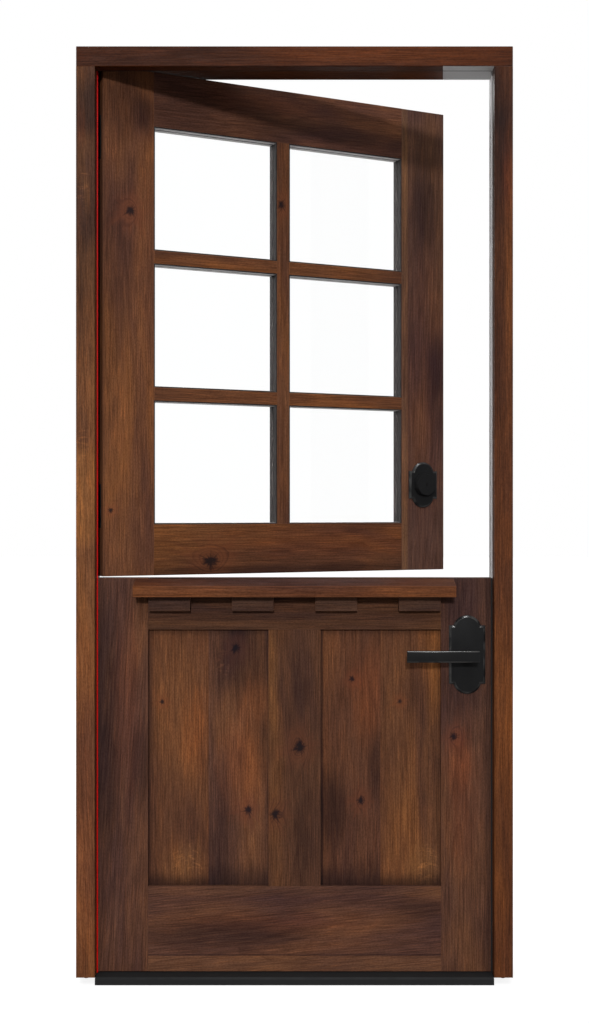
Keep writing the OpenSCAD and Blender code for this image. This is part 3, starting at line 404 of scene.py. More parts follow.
def board(node, grain, seed, pith=(0.0, 0.0, 0.12), lean=0.0, knots=(), feathers=(), patches=(),
          stain=(1.0, 1.0, 1.0), shade_rim=0.0, sheen=0.04, swing=no_swing):
    """Stained alder for one board. Knots are (x, z, radius), feathers (x, z, along, across), and patches
    (x, z, along, across, soft, share, tint), some of which are painted shade. Pith is where the trunk's middle
    lies from the board's, and lean turns the grain on the face, in degrees. Stain is how strongly the board
    took each colour of the stain, shade_rim how far painted shade reaches in from the edges, and swing how its
    leaf stands open."""
    low, high = closed_box(node, swing)
    middle = (low + high) / 2
    half = grain.transposed() @ (high - middle)
    material, tree, surface, place = new_material("alder_" + node, Specular_IOR_Level=sheen)
    turned = (swing.to_3x3() @ grain).to_euler()
    mapping = {"Vector": place, "Location": swing @ middle, "Rotation": turned}
    spot = put(tree, "Mapping", mapping, vector_type="TEXTURE").outputs[0]
    leaning = {"Vector": spot, "Angle": math.radians(lean)}
    leaning = put(tree, "VectorRotate", leaning, rotation_type="Z_AXIS").outputs[0]

    def on_board(x, z):
        """Where a spot of the shut door lies on the board."""
        return grain.transposed() @ (Vector((x, middle.y, z)) - middle)

    sides = {"Dip": 0.0, "Heart": 0.0, "Flame": 0.0}
    for x, z, size in knots:
        made = grouped(tree, knot, {"Vector": spot, "Centre": on_board(x, z), "Radius": size})
        sides["Dip"] = sums(tree, "ADD", made["Dip"], sides["Dip"])
        for side in ("Heart", "Flame"):
            sides[side] = sums(tree, "MAXIMUM", made[side], sides[side])
    wood = grouped(tree, alder, {"Vector": leaning, "Seed": float(seed), "Pith": pith, **sides})
    colour = laid_over(tree, 1.0, wood["Color"], (*stain, 1.0), "MULTIPLY")
    for x, z, along, across, soft, share, tint in patches:
        values = {"Vector": spot, "Centre": on_board(x, z), "Reach": (along, across, 1.0), "Soft": soft}
        mask = sums(tree, "MULTIPLY", grouped(tree, stain_and_shade_patch, values)["Mask"], share)
        colour = laid_over(tree, mask, colour, tint, "MULTIPLY")
    for x, z, along, across in feathers:
        values = {"Vector": spot, "Centre": on_board(x, z), "Reach": (along, across, 1.0)}
        mask = sums(tree, "MULTIPLY", grouped(tree, feather, values)["Mask"], FEATHER_SHARE)
        colour = laid_over(tree, mask, colour, PALE, "MULTIPLY")
    # Painted shade along the board's edges, full at the rim and fading inwards
    if shade_rim:
        reach = put(tree, "SeparateXYZ", {0: vectors(tree, "ABSOLUTE", spot)}).outputs
        inset = [sums(tree, "SUBTRACT", abs(half[axis]), reach[axis]) for axis in (0, 1)]
        rim_shade = eased_range(tree, sums(tree, "MINIMUM", *inset), shade_rim, RIM_SHADE_CORE * shade_rim, 0.0, RIM_SHADE_SHARE)
        colour = laid_over(tree, rim_shade, colour, DARK, "MULTIPLY")
    tree.links.new(colour, surface.inputs["Base Color"])
    tree.links.new(wood["Roughness"], surface.inputs["Roughness"])
    raised(tree, surface, wood["Height"], GRAIN_DEPTH, GRAIN_STRENGTH)
    return material


ARRIS = 0.0012
hinge_jamb_wood = board(
    "hinge_jamb", UPRIGHT, 1, pith=(0.0, 0.03, 0.05), lean=1.5, stain=(1.20, 1.23, 1.10),
    feathers=[(-0.474, 1.790, 0.08, 0.020), (-0.475, 1.215, 0.05, 0.018)],
    patches=[
        (-0.469, 1.800, 0.40, 0.08, 0.4, 0.50, DARK), (-0.469, 1.970, 0.06, 0.05, 0.5, 0.65, DARK),
        (-0.478, 1.830, 0.045, 0.010, 0.5, 0.6, AMBER), (-0.465, 1.770, 0.05, 0.008, 0.5, 0.6, AMBER),
        (-0.462, 1.700, 0.07, 0.015, 0.6, 0.5, DARK), (-0.480, 1.930, 0.05, 0.012, 0.6, 0.5, RUDDY),
        (-0.480, 1.560, 0.10, 0.010, 0.6, 0.4, DARK), (-0.469, 1.885, 0.03, 0.05, 0.6, 0.4, AMBER),
        (-0.469, 1.620, 0.05, 0.05, 0.6, 0.3, AMBER),
        (-0.469, 1.100, 0.105, 0.08, 0.25, 0.75, AMBER), (-0.469, 0.350, 0.30, 0.06, 0.7, 0.35, RUDDY),
        (-0.469, 0.020, 0.08, 0.08, 0.6, 0.30, DARK),
    ],
)
eased_copy("hinge_jamb", ARRIS, hinge_jamb_wood)
strike_jamb_wood = board(
    "strike_jamb", UPRIGHT, 2, pith=(0.0, -0.06, 0.04), stain=(0.73, 0.63, 0.54),
    patches=[
        (0.469, 0.450, 0.50, 0.08, 0.6, 0.55, AMBER), (0.456, 1.700, 0.50, 0.020, 0.5, 0.6, DARK),
        (0.476, 1.820, 0.09, 0.010, 0.6, 0.5, RUDDY), (0.480, 1.560, 0.12, 0.010, 0.6, 0.45, AMBER),
        (0.469, 1.990, 0.09, 0.08, 0.6, 0.45, DARK),
    ],
)
strike_jamb_piece = eased_copy("strike_jamb", ARRIS, strike_jamb_wood)

# Pale primer, bare on the strike jamb's rabbet
primer, tree, surface, place = new_material("pale_primer", Specular_IOR_Level=0.1)
marks = grouped(tree, handling, {"Vector": place, "Cloud Size": 0.08, "Speck Size": 0.0016})
primer_tone = laid_over(tree, marks["Cloud"], tone(188, 188, 189), tone(204, 203, 203))
worn = eased_range(tree, marks["Speck"], 0.6, 0.8, 0.0, 0.3)
tree.links.new(laid_over(tree, worn, primer_tone, tone(150, 146, 142)), surface.inputs["Base Color"])
tree.links.new(eased_range(tree, marks["Speck"], 0.3, 0.7, 0.50, 0.62), surface.inputs["Roughness"])
raised(tree, surface, marks["Speck"], depth=0.00005)


def second_finish(piece, material, chosen):
    """Gives the chosen faces of a piece another finish."""
    piece.data.materials.append(material)
    for face in piece.data.polygons:
        face.material_index = int(chosen(face))


# The rabbet faces the opening, within this cosine, clear of the stop's side and of the jamb's outer side
SQUARE, STOP_SIDE, OUTER_SIDE = 0.9, 0.005, 0.02
jamb_low, jamb_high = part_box("strike_jamb")
rabbet_low, rabbet_high = jamb_low.x + STOP_SIDE, jamb_high.x - OUTER_SIDE
second_finish(strike_jamb_piece, primer, lambda face: (
    face.normal.x < -SQUARE and rabbet_low < face.center.x < rabbet_high))

# Head
# The top member of the frame, with the same stop and rabbet, lying across the tops of the jambs.
# It is screwed down into them through its upper face.
head_wood = board(
    "head_jamb", LEVEL, 3, pith=(0.0, 0.05, 0.06), stain=(0.45, 0.30, 0.17),
    patches=[
        (-0.20, 2.08, 0.12, 0.02, 0.7, 0.45, DARK), (0.18, 2.09, 0.30, 0.02, 0.7, 0.35, AMBER),
        # The thin dark band at the height of the head's underside is painted shade on the soffit
        (0.26, 2.059, 0.50, 0.003, 0.3, 0.55, DARK),
    ],
)
head_piece = eased_copy("head_jamb", ARRIS, head_wood)
SCORE_REACH = 1e-6


def scored(piece, place, across):
    """Cuts a piece's faces along a plane, so that each side can take a finish of its own."""
    shape = bmesh.new()
    shape.from_mesh(piece.data)
    whole = [*shape.verts, *shape.edges, *shape.faces]
    bmesh.ops.bisect_plane(shape, geom=whole, dist=SCORE_REACH, plane_co=place, plane_no=across)
    shape.to_mesh(piece.data)
    shape.free()


# The primer runs on from the strike jamb over the end of the head's underside, up to a slanting brush line
primer_end, brush_line = Vector((0.3414, 0.0, 0.0)), Vector((1.0, -0.1044, 0.0))
scored(head_piece, primer_end, brush_line)
second_finish(head_piece, primer, lambda face: (
    face.normal.z < -SQUARE and (face.center - primer_end).dot(brush_line) > 0.0))

# Seals
# Strips of rubber along the rear face of the stop: red on the hinge side and black elsewhere,
# but pale on the strike side along the upper leaf, with the strike length beside the lower leaf left black as
# painted shade of the gap there. The closed leaves stop just against them.
BLOOM = 0.08


def rubber(name, dark, light, roughness):
    """Rubber between two tones, with a fine bloom."""
    material, tree, surface, place = new_material(name, Specular_IOR_Level=0.1)
    marks = grouped(tree, handling, {"Vector": place, "Cloud Size": 0.02, "Speck Size": 0.0008})
    tree.links.new(laid_over(tree, marks["Cloud"], dark, light), surface.inputs["Base Color"])
    bloom = eased_range(tree, marks["Speck"], 0.3, 0.7, roughness - BLOOM, roughness + BLOOM)
    tree.links.new(bloom, surface.inputs["Roughness"])
    raised(tree, surface, marks["Speck"], depth=0.00006)
    return material


red_rubber = rubber("red_rubber", tone(190, 5, 4), tone(206, 8, 7), 0.55)
pale_rubber = rubber("pale_rubber", tone(168, 166, 167), tone(184, 182, 182), 0.60)
black_rubber = rubber("black_rubber", tone(20, 20, 21), tone(30, 30, 30), 0.62)
eased_copy("hinge_side_seal", EXTRUDED_EASE, red_rubber)
eased_copy("head_seal", EXTRUDED_EASE, black_rubber)
strike_seal = eased_copy("strike_side_seal", EXTRUDED_EASE, black_rubber)
# The strike seal is pale above the meeting line, and black below it as painted shade of the narrow gap beside
# the lower leaf
meeting_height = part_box("lower_lock_stile")[1].z
scored(strike_seal, Vector((0.0, 0.0, meeting_height)), Vector((0.0, 0.0, 1.0)))
second_finish(strike_seal, pale_rubber, lambda face: face.center.z > meeting_height)

# Jamb halves of the hinges, with their pins
# Four butt hinges of black powder-coated steel, let into the jamb flush with the rabbet.
# Each pin drops through the knuckles from above and hangs by its head.
SHEET_EASE = 0.0003
black_coat, tree, surface, place = new_material(
    "black_powder_coat", Specular_IOR_Level=0.03, Coat_Roughness=0.16)
marks = grouped(tree, handling, {"Vector": place, "Cloud Size": 0.03, "Speck Size": 0.0011})
coat_tone = laid_over(tree, marks["Cloud"], tone(24, 24, 25), tone(30, 30, 30))
grit = eased_range(tree, marks["Speck"], 0.55, 0.8, 0.0, 0.3)
coat_tone = laid_over(tree, grit, coat_tone, tone(36, 36, 36))
coat_tone = laid_over(tree, sums(tree, "MULTIPLY", marks["Rub"], 0.35), coat_tone, tone(96, 94, 92))
tree.links.new(coat_tone, surface.inputs["Base Color"])
tree.links.new(sums(tree, "MULTIPLY", marks["Arris"], 0.2), surface.inputs["Coat Weight"])
tree.links.new(eased_range(tree, marks["Cloud"], 0.3, 0.7, 0.34, 0.46), surface.inputs["Roughness"])
raised(tree, surface, marks["Speck"], depth=0.00005)
eased_copy("hinge_jamb_plates", SHEET_EASE, black_coat)

bright_steel, tree, surface, place = new_material("turned_steel", Metallic=1.0)
marks = grouped(tree, handling, {"Vector": place, "Cloud Size": 0.02, "Speck Size": 0.0006})
steel_tone = laid_over(tree, marks["Cloud"], tone(132, 131, 128), tone(170, 169, 166))
tree.links.new(steel_tone, surface.inputs["Base Color"])
tree.links.new(eased_range(tree, marks["Speck"], 0.3, 0.7, 0.26, 0.42), surface.inputs["Roughness"])
raised(tree, surface, marks["Speck"], depth=0.00002)
eased_copy("hinge_pins", SHEET_EASE, bright_steel)

# Strike plates
# Two thin black plates let into the rabbet of the strike jamb, each with a hole for its bolt.
# Small screws hold them.
for strike in ("latch_strike", "deadbolt_strike"):
    eased_copy(strike, SHEET_EASE, black_coat)

# Screws of the frame
# Countersunk cross-head screws: three in each hinge plate, two in each strike, and the long ones
# that hold the head and the threshold to the jambs.

# Shares of the shank's radius, then the cross as shares of it and of the head's depth, and the threaded
# share of the core
HEAD_SHARE, CORE_SHARE, RIDGE_SHARE, POINT_SHARE = 2.0, 0.82, 0.16, 2.0
SLOT_WIDE, SLOT_LONG, SLOT_DEEP, THREADED = 0.5, 2.5, 1.1, 0.7
HEAD_SIDES, SHANK_SIDES, TURN_SIDES, RIDGE_SIDES = 32, 24, 10, 4


def geometry_node(tree, kind, values=None, **settings):
    """A new geometry node, with its inputs by name or number."""
    node = tree.nodes.new(kind)
    for key, value in settings.items():
        setattr(node, key, value)
    for key, value in (values or {}).items():
        for source in value if isinstance(value, list) else [value]:
            if isinstance(source, bpy.types.NodeSocket):
                tree.links.new(source, node.inputs[key])
            else:
                node.inputs[key].default_value = source
    return node


def length_sum(tree, operation, *values):
    """The result of one operation on lengths."""
    return geometry_node(tree, "ShaderNodeMath", dict(enumerate(values)), operation=operation).outputs[0]


screws = bpy.data.node_groups.new("countersunk_screws", "GeometryNodeTree")
screws.interface.new_socket("Places", in_out="INPUT", socket_type="NodeSocketGeometry")
for label, size in (
    ("Shank Radius", 0.002), ("Length", 0.022), ("Head Depth", 0.0022), ("Thread Pitch", 0.0016),
):
    screws.interface.new_socket(label, in_out="INPUT", socket_type="NodeSocketFloat").default_value = size
screws.interface.new_socket("Screws", in_out="OUTPUT", socket_type="NodeSocketGeometry")
taken = screws.nodes.new("NodeGroupInput").outputs
shank, length, head_depth = taken["Shank Radius"], taken["Length"], taken["Head Depth"]


def shanks(count):
    """A length of so many shank radii."""
    return length_sum(screws, "MULTIPLY", shank, count)


def moved(geometry, drop):
    """Geometry lowered below the face of the screw's head."""
    down = geometry_node(screws, "ShaderNodeCombineXYZ", {"Z": length_sum(screws, "MULTIPLY", drop, -1.0)})
    values = {"Geometry": geometry, "Translation": down.outputs[0]}
    return geometry_node(screws, "GeometryNodeTransform", values).outputs[0]


def cone(top, bottom, depth, drop, sides=SHANK_SIDES):
    """A turned length whose lower end lies the given drop below the head's face."""
    values = {"Vertices": sides, "Radius Top": top, "Radius Bottom": bottom, "Depth": depth}
    made = geometry_node(screws, "GeometryNodeMeshCone", values, fill_type="NGON")
    return moved(made.outputs["Mesh"], drop)


def slot_bar(wide, long):
    """One arm of the cross in the head."""
    size = geometry_node(screws, "ShaderNodeCombineXYZ", {
        "X": shanks(wide), "Y": shanks(long), "Z": length_sum(screws, "MULTIPLY", head_depth, SLOT_DEEP)})
    return geometry_node(screws, "GeometryNodeMeshCube", {"Size": size.outputs[0]}).outputs["Mesh"]


point_length = shanks(POINT_SHARE)
head = cone(shanks(HEAD_SHARE), shank, head_depth, head_depth, HEAD_SIDES)
cross = {"Mesh 1": head, "Mesh 2": [slot_bar(SLOT_WIDE, SLOT_LONG), slot_bar(SLOT_LONG, SLOT_WIDE)]}
head = geometry_node(screws, "GeometryNodeMeshBoolean", cross, operation="DIFFERENCE").outputs["Mesh"]
core_radius = shanks(CORE_SHARE)
core_end = length_sum(screws, "SUBTRACT", length, point_length)
core_length = length_sum(screws, "SUBTRACT", core_end, head_depth)
core = cone(core_radius, core_radius, core_length, core_end)
point = cone(core_radius, 0.0, point_length, length)
thread_height = length_sum(screws, "MULTIPLY", core_length, THREADED)
turns = length_sum(screws, "DIVIDE", thread_height, taken["Thread Pitch"])
helix = geometry_node(screws, "GeometryNodeCurveSpiral", {
    "Resolution": TURN_SIDES, "Rotations": turns, "Start Radius": core_radius, "End Radius": core_radius,
    "Height": thread_height})
ridge = geometry_node(screws, "GeometryNodeCurvePrimitiveCircle", {
    "Resolution": RIDGE_SIDES, "Radius": shanks(RIDGE_SHARE)})
thread = geometry_node(screws, "GeometryNodeCurveToMesh", {
    "Curve": helix.outputs[0], "Profile Curve": ridge.outputs[0], "Fill Caps": True})
thread = moved(thread.outputs[0], core_end)
whole = geometry_node(screws, "GeometryNodeJoinGeometry", {"Geometry": [head, core, point, thread]})
facing = geometry_node(
    screws, "GeometryNodeInputNamedAttribute", {"Name": "facing"}, data_type="FLOAT_VECTOR")
aim = geometry_node(screws, "FunctionNodeAlignRotationToVector", {"Vector": facing.outputs[0]}, axis="Z")
placed = geometry_node(screws, "GeometryNodeInstanceOnPoints", {
    "Points": taken["Places"], "Instance": whole.outputs[0], "Rotation": aim.outputs[0]})
real = geometry_node(screws, "GeometryNodeRealizeInstances", {"Geometry": placed.outputs[0]})
coated = geometry_node(screws, "GeometryNodeSetMaterial", {
    "Geometry": real.outputs[0], "Material": black_coat})
screws.links.new(coated.outputs[0], screws.nodes.new("NodeGroupOutput").inputs["Screws"])
SCREW_INPUTS = {item.name: item.identifier for item in screws.interface.items_tree if item.in_out == "INPUT"}


def screw_places(node):
    """Each screw of a node as (middle of its head's face, way it faces), by length and shank radius."""
    solid = merged(node)
    found, left = {}, set(solid.verts)
    while left:
        island, edge_of_island = set(), [left.pop()]
        while edge_of_island:
            vertex = edge_of_island.pop()
            island.add(vertex)
            near = {e.other_vert(vertex) for e in vertex.link_edges} & left
            left -= near
            edge_of_island += near
        spots = np.array([v.co for v in sorted(island, key=lambda v: v.index)])
        middle = spots.mean(0)
        axis = np.linalg.svd(spots - middle)[2][0]
        along = (spots - middle) @ axis
        away = np.linalg.norm(spots - middle - np.outer(along, axis), axis=1)
        if along[away.argmax()] < 0:
            axis, along = -axis, -along
        size = (round(float(np.ptp(along)), 4), round(float(away.max()) / 2, 4))
        found.setdefault(size, []).append((middle + axis * along.max(), axis))
    solid.free()
    return found


SCREW_EDGE = math.radians(30)


def cross_head_screws(node):
    """The screws of one body, made where its solids are and standing for them."""
    every = bmesh.new()
    for (length, shank), places in sorted(screw_places(node).items(), key=lambda item: item[0]):
        spots = bpy.data.meshes.new(node + "_spots")
        spots.from_pydata([tuple(middle) for middle, way in places], [], [])
        facing = spots.attributes.new("facing", "FLOAT_VECTOR", "POINT")
        facing.data.foreach_set("vector", np.array([way for middle, way in places], np.float32).ravel())
        holder = bpy.data.objects.new(node + "_spots", spots)
        bpy.context.scene.collection.objects.link(holder)
        maker = holder.modifiers.new("screws", "NODES")
        maker.node_group = screws
        maker[SCREW_INPUTS["Shank Radius"]] = shank
        maker[SCREW_INPUTS["Length"]] = length
        made = bpy.data.meshes.new_from_object(holder.evaluated_get(bpy.context.evaluated_depsgraph_get()))
        every.from_mesh(made)
        bpy.data.objects.remove(holder)
    piece = finished(node, every, black_coat)
    piece.data.set_sharp_from_angle(angle=SCREW_EDGE)


cross_head_screws("frame_screws")

# Frame of the upper leaf
# Two alder stiles and two rails, mortised together and glued round the glass.
# The leaf stands ajar on its hinges, so its boards are laid out as if it were shut and then swung.
upper_hinge = next(joint for joint in frame["joints"] if joint["name"] == "upper_leaf_swing")
hinge_line = Matrix.Translation(upper_hinge["pos_m"])
open_turn = Matrix.Rotation(math.radians(-upper_hinge["range_deg"][0]), 4, "Z")
ajar = hinge_line @ open_turn @ hinge_line.inverted()
upper_boards = {
    "upper_hinge_stile": dict(
        grain=UPRIGHT, seed=4, pith=(0.0, 0.02, 0.09), stain=(1.13, 1.18, 1.24),
        knots=[(-0.389, 1.752, 0.009), (-0.437, 1.064, 0.004)],
        # The two dark patches at the stile's top are painted shadow of the head
        patches=[(-0.410, 1.990, 0.07, 0.050, 0.6, 0.60, DARK), (-0.354, 1.981, 0.04, 0.018, 0.6, 0.6, DARK),
                 (-0.410, 1.250, 0.30, 0.05, 0.7, 0.35, AMBER), (-0.440, 1.520, 0.20, 0.03, 0.7, 0.35, DARK),
                 # The long thin dark strip along the hinge edge is painted shadow beside the stop
                 (-0.390, 1.880, 0.05, 0.05, 0.7, 0.4, AMBER), (-0.455, 1.500, 3.0, 0.004, 0.4, 0.35, DARK)]),
    "upper_lock_stile": dict(
        grain=UPRIGHT, seed=5, pith=(0.0, -0.05, 0.05), lean=-1.5, stain=(0.66, 0.85, 1.33),
        patches=[(0.341, 1.495, 2.0, 0.0085, 0.08, 0.75, AMBER), (0.400, 1.850, 0.12, 0.04, 0.6, 0.7, DARK),
                 (0.400, 1.400, 0.30, 0.06, 0.7, 0.35, RUDDY), (0.430, 1.380, 0.12, 0.02, 0.6, 0.5, DARK)]),
    "upper_top_rail_piece": dict(
        grain=LEVEL, seed=6, pith=(0.0, 0.02, 0.08), lean=-2.0, stain=(0.94, 1.04, 1.35),
        # The dark patch at the rail's left end is painted shadow of the head
        patches=[(-0.270, 1.990, 0.10, 0.06, 0.6, 0.50, DARK), (0.140, 1.985, 0.20, 0.022, 0.6, 0.45, DARK),
                 (-0.060, 2.040, 0.16, 0.02, 0.7, 0.35, RUDDY), (-0.070, 1.965, 0.10, 0.03, 0.6, 0.35, DARK)]),
    "upper_bottom_rail_piece": dict(
        grain=LEVEL, seed=7, pith=(0.0, 0.0, 0.10), stain=(0.93, 0.98, 0.95), knots=[(-0.190, 0.946, 0.012)],
        patches=[(0.000, 0.918, 2.0, 0.014, 0.4, 0.55, DARK), (0.150, 0.990, 0.25, 0.04, 0.7, 0.35, RUDDY)]),
}
for name, traits in upper_boards.items():
    eased_copy(name, ARRIS, board(name, swing=ajar, **traits))

# Muntins
# One upright bar from rail to rail, and level bars tenoned into it and into the stiles.
# They divide the opening into six lights.
muntins = {
    "vertical_muntin": dict(grain=UPRIGHT, seed=8, pith=(0.0, 0.03, 0.05), stain=(1.03, 1.10, 1.14),
                            knots=[(-0.004, 1.802, 0.0075)]),
    "horizontal_muntins": dict(grain=LEVEL, seed=9, pith=(0.0, 0.06, 0.03),
                               patches=[(0.0, 1.50, 2.0, 1.0, 0.5, 0.4, AMBER)]),
}
for name, traits in muntins.items():
    eased_copy(name, ARRIS, board(name, swing=ajar, **traits))

# Glazing liners
# Grey extruded beads that line each light on both sides of its pane and hold it in place.
# Their level faces are painted pale as painted light, and their upright faces dark as painted shade.

def bead(name, dark, light):
    """Grey bead between two tones, rubbed pale on its arrises."""
    material, tree, surface, place = new_material(name, Specular_IOR_Level=0.1)
    marks = grouped(tree, handling, {"Vector": place, "Cloud Size": 0.06, "Speck Size": 0.0009})
    bead_tone = laid_over(tree, marks["Cloud"], dark, light)
    bead_tone = laid_over(tree, sums(tree, "MULTIPLY", marks["Rub"], 0.3), bead_tone, tone(120, 117, 116))
    tree.links.new(bead_tone, surface.inputs["Base Color"])
    tree.links.new(eased_range(tree, marks["Speck"], 0.3, 0.7, 0.44, 0.58), surface.inputs["Roughness"])
    raised(tree, surface, marks["Speck"], depth=0.00004)
    return material


shaded_upright_face_bead = bead("shaded_upright_face_bead", tone(40, 36, 35), tone(48, 43, 42))
lit_level_face_bead = bead("lit_level_face_bead", tone(172, 169, 168), tone(186, 183, 182))
# Faces lying nearly level take the pale bead of painted light, the rest the dark bead of painted shade
NEARLY_LEVEL = 0.7
for liner in ("front_glazing_liners", "rear_glazing_liners"):
    piece = eased_copy(liner, EXTRUDED_EASE, shaded_upright_face_bead)
    second_finish(piece, lit_level_face_bead, lambda face: abs(face.normal.z) > NEARLY_LEVEL)

# Panes
# Six panes of clear float glass, cut a hair smaller than their lights.
# Lamps shine straight through them.
clear_glass, tree, surface, place = new_material(
    "float_glass", Transmission_Weight=1.0, IOR=1.45, Specular_Tint=(0.2, 0.2, 0.2, 1.0))
marks = grouped(tree, handling, {"Vector": place, "Cloud Size": 0.12, "Speck Size": 0.004})
glass_tone = laid_over(tree, marks["Cloud"], tone(254, 255, 255), tone(255, 255, 255))
tree.links.new(glass_tone, surface.inputs["Base Color"])
tree.links.new(eased_range(tree, marks["Cloud"], 0.55, 0.8, 0.0, 0.015), surface.inputs["Roughness"])
lamp_pass = put(tree, "MixShader", {
    0: put(tree, "LightPath").outputs["Is Shadow Ray"], 1: surface.outputs[0],
    2: put(tree, "BsdfTransparent").outputs[0]})
tree.links.new(lamp_pass.outputs[0], tree.nodes["Material Output"].inputs["Surface"])
eased_copy("glass_panes", SHEET_EASE, clear_glass)

# Leaf halves of the upper hinges
# Plates of the same coated steel, let into the edge of the hinge stile and screwed there.
# Each has two knuckles, which lie between the three of the jamb's half.
eased_copy("upper_hinge_plates", SHEET_EASE, black_coat)

# Deadbolt
# A shouldered black plate and a coned collar outside, a rose and a thumb turn inside.
# The plug and the turn share a flat tailpiece, which throws the bolt in its tubular case.
CAST_EASE, ROSE_EASE, GRIP_EASE, TURNED_EASE = 0.0005, 0.0008, 0.0010, 0.0004
for part, ease in (
    ("deadbolt_plate", CAST_EASE), ("deadbolt_collar", ROSE_EASE), ("deadbolt_rear_rose", ROSE_EASE),
    ("deadbolt_faceplate", SHEET_EASE), ("key_plug", SHEET_EASE), ("thumb_turn", GRIP_EASE),
):
    eased_copy(part, ease, black_coat)
for part in ("deadbolt_case", "deadbolt_bolt", "tailpiece"):
    eased_copy(part, TURNED_EASE, bright_steel)

# Keeper of the joining bolt
# A short socket of black-coated steel that the joining bolt enters.
# It is screwed to the inner face of the upper leaf's bottom rail.
eased_copy("joining_bolt_keeper", CAST_EASE, black_coat)

# Screws of the upper leaf
# Cross-head screws of coated steel, sunk flush with what they hold.
# They fix its hinge plates, faceplate, rose and keeper.
cross_head_screws("upper_leaf_screws")

# Frame of the lower leaf
# Stiles, rails and a centre mullion of alder, grooved all round for the panels.
# Their joints are mortised and glued like the upper leaf's.
lower_boards = {
    "lower_hinge_stile": dict(
        grain=UPRIGHT, seed=10, pith=(0.0, 0.04, 0.07), lean=-3.0, stain=(0.65, 0.75, 1.05),
        patches=[(-0.435, 0.700, 0.16, 0.03, 0.6, 0.6, DARK), (-0.430, 0.450, 0.14, 0.035, 0.6, 0.65, DARK),
                 (-0.380, 0.620, 0.20, 0.03, 0.7, 0.4, RUDDY), (-0.345, 0.480, 0.10, 0.02, 0.7, 0.5, DARK),
                 # The long thin dark strip along the hinge edge is painted shadow beside the stop
                 (-0.455, 0.460, 3.0, 0.004, 0.4, 0.35, DARK)]),
    "lower_lock_stile": dict(
        grain=UPRIGHT, seed=11, pith=(0.0, 0.02, 0.08), stain=(0.68, 0.79, 1.04),
        knots=[(0.361, 0.553, 0.007)],
        patches=[(0.380, 0.420, 0.16, 0.03, 0.7, 0.4, RUDDY), (0.400, 0.860, 0.06, 0.08, 0.7, 0.12, DARK),
                 # The long dark strip along the lock edge is painted shade beside the strike jamb
                 (0.448, 0.450, 2.0, 0.016, 0.5, 0.55, DARK), (0.373, 0.490, 0.06, 0.03, 0.7, 0.5, ORANGE),
                 (0.390, 0.645, 0.035, 0.06, 0.6, 0.3, DARK)]),
    "lower_top_rail_piece": dict(
        grain=LEVEL, seed=12, pith=(0.0, -0.05, 0.06), stain=(0.49, 0.56, 0.73),
        patches=[(0.0, 0.803, 2.0, 0.012, 0.4, 0.35, AMBER)]),
    "lower_bottom_rail_piece": dict(
        grain=LEVEL, seed=13, pith=(0.0, 0.03, 0.10), lean=-5.0, stain=(0.61, 0.70, 1.02),
        patches=[(-0.160, 0.105, 0.16, 0.032, 0.6, 0.65, DARK), (0.278, 0.161, 0.06, 0.022, 0.6, 0.6, DARK),
                 (-0.060, 0.130, 0.16, 0.02, 0.7, 0.3, RUDDY), (0.0, 0.0365, 3.0, 0.0185, 0.06, 0.6, AMBER),
                 (0.0, 0.0565, 3.0, 0.0015, 0.3, 0.6, DARK), (0.0, 0.204, 3.0, 0.012, 0.4, 0.35, AMBER)]),
    "centre_mullion": dict(
        grain=UPRIGHT, seed=14, pith=(0.0, 0.0, 0.06), stain=(0.66, 0.74, 0.84),
        knots=[(0.012, 0.526, 0.010), (-0.043, 0.375, 0.008)],
        patches=[(-0.050, 0.660, 0.12, 0.014, 0.5, 0.5, AMBER), (0.010, 0.640, 0.10, 0.012, 0.7, 0.2, DARK),
                 (0.020, 0.330, 0.12, 0.02, 0.7, 0.4, DARK)]),
}
for name, traits in lower_boards.items():
    eased_copy(name, ARRIS, board(name, **traits))

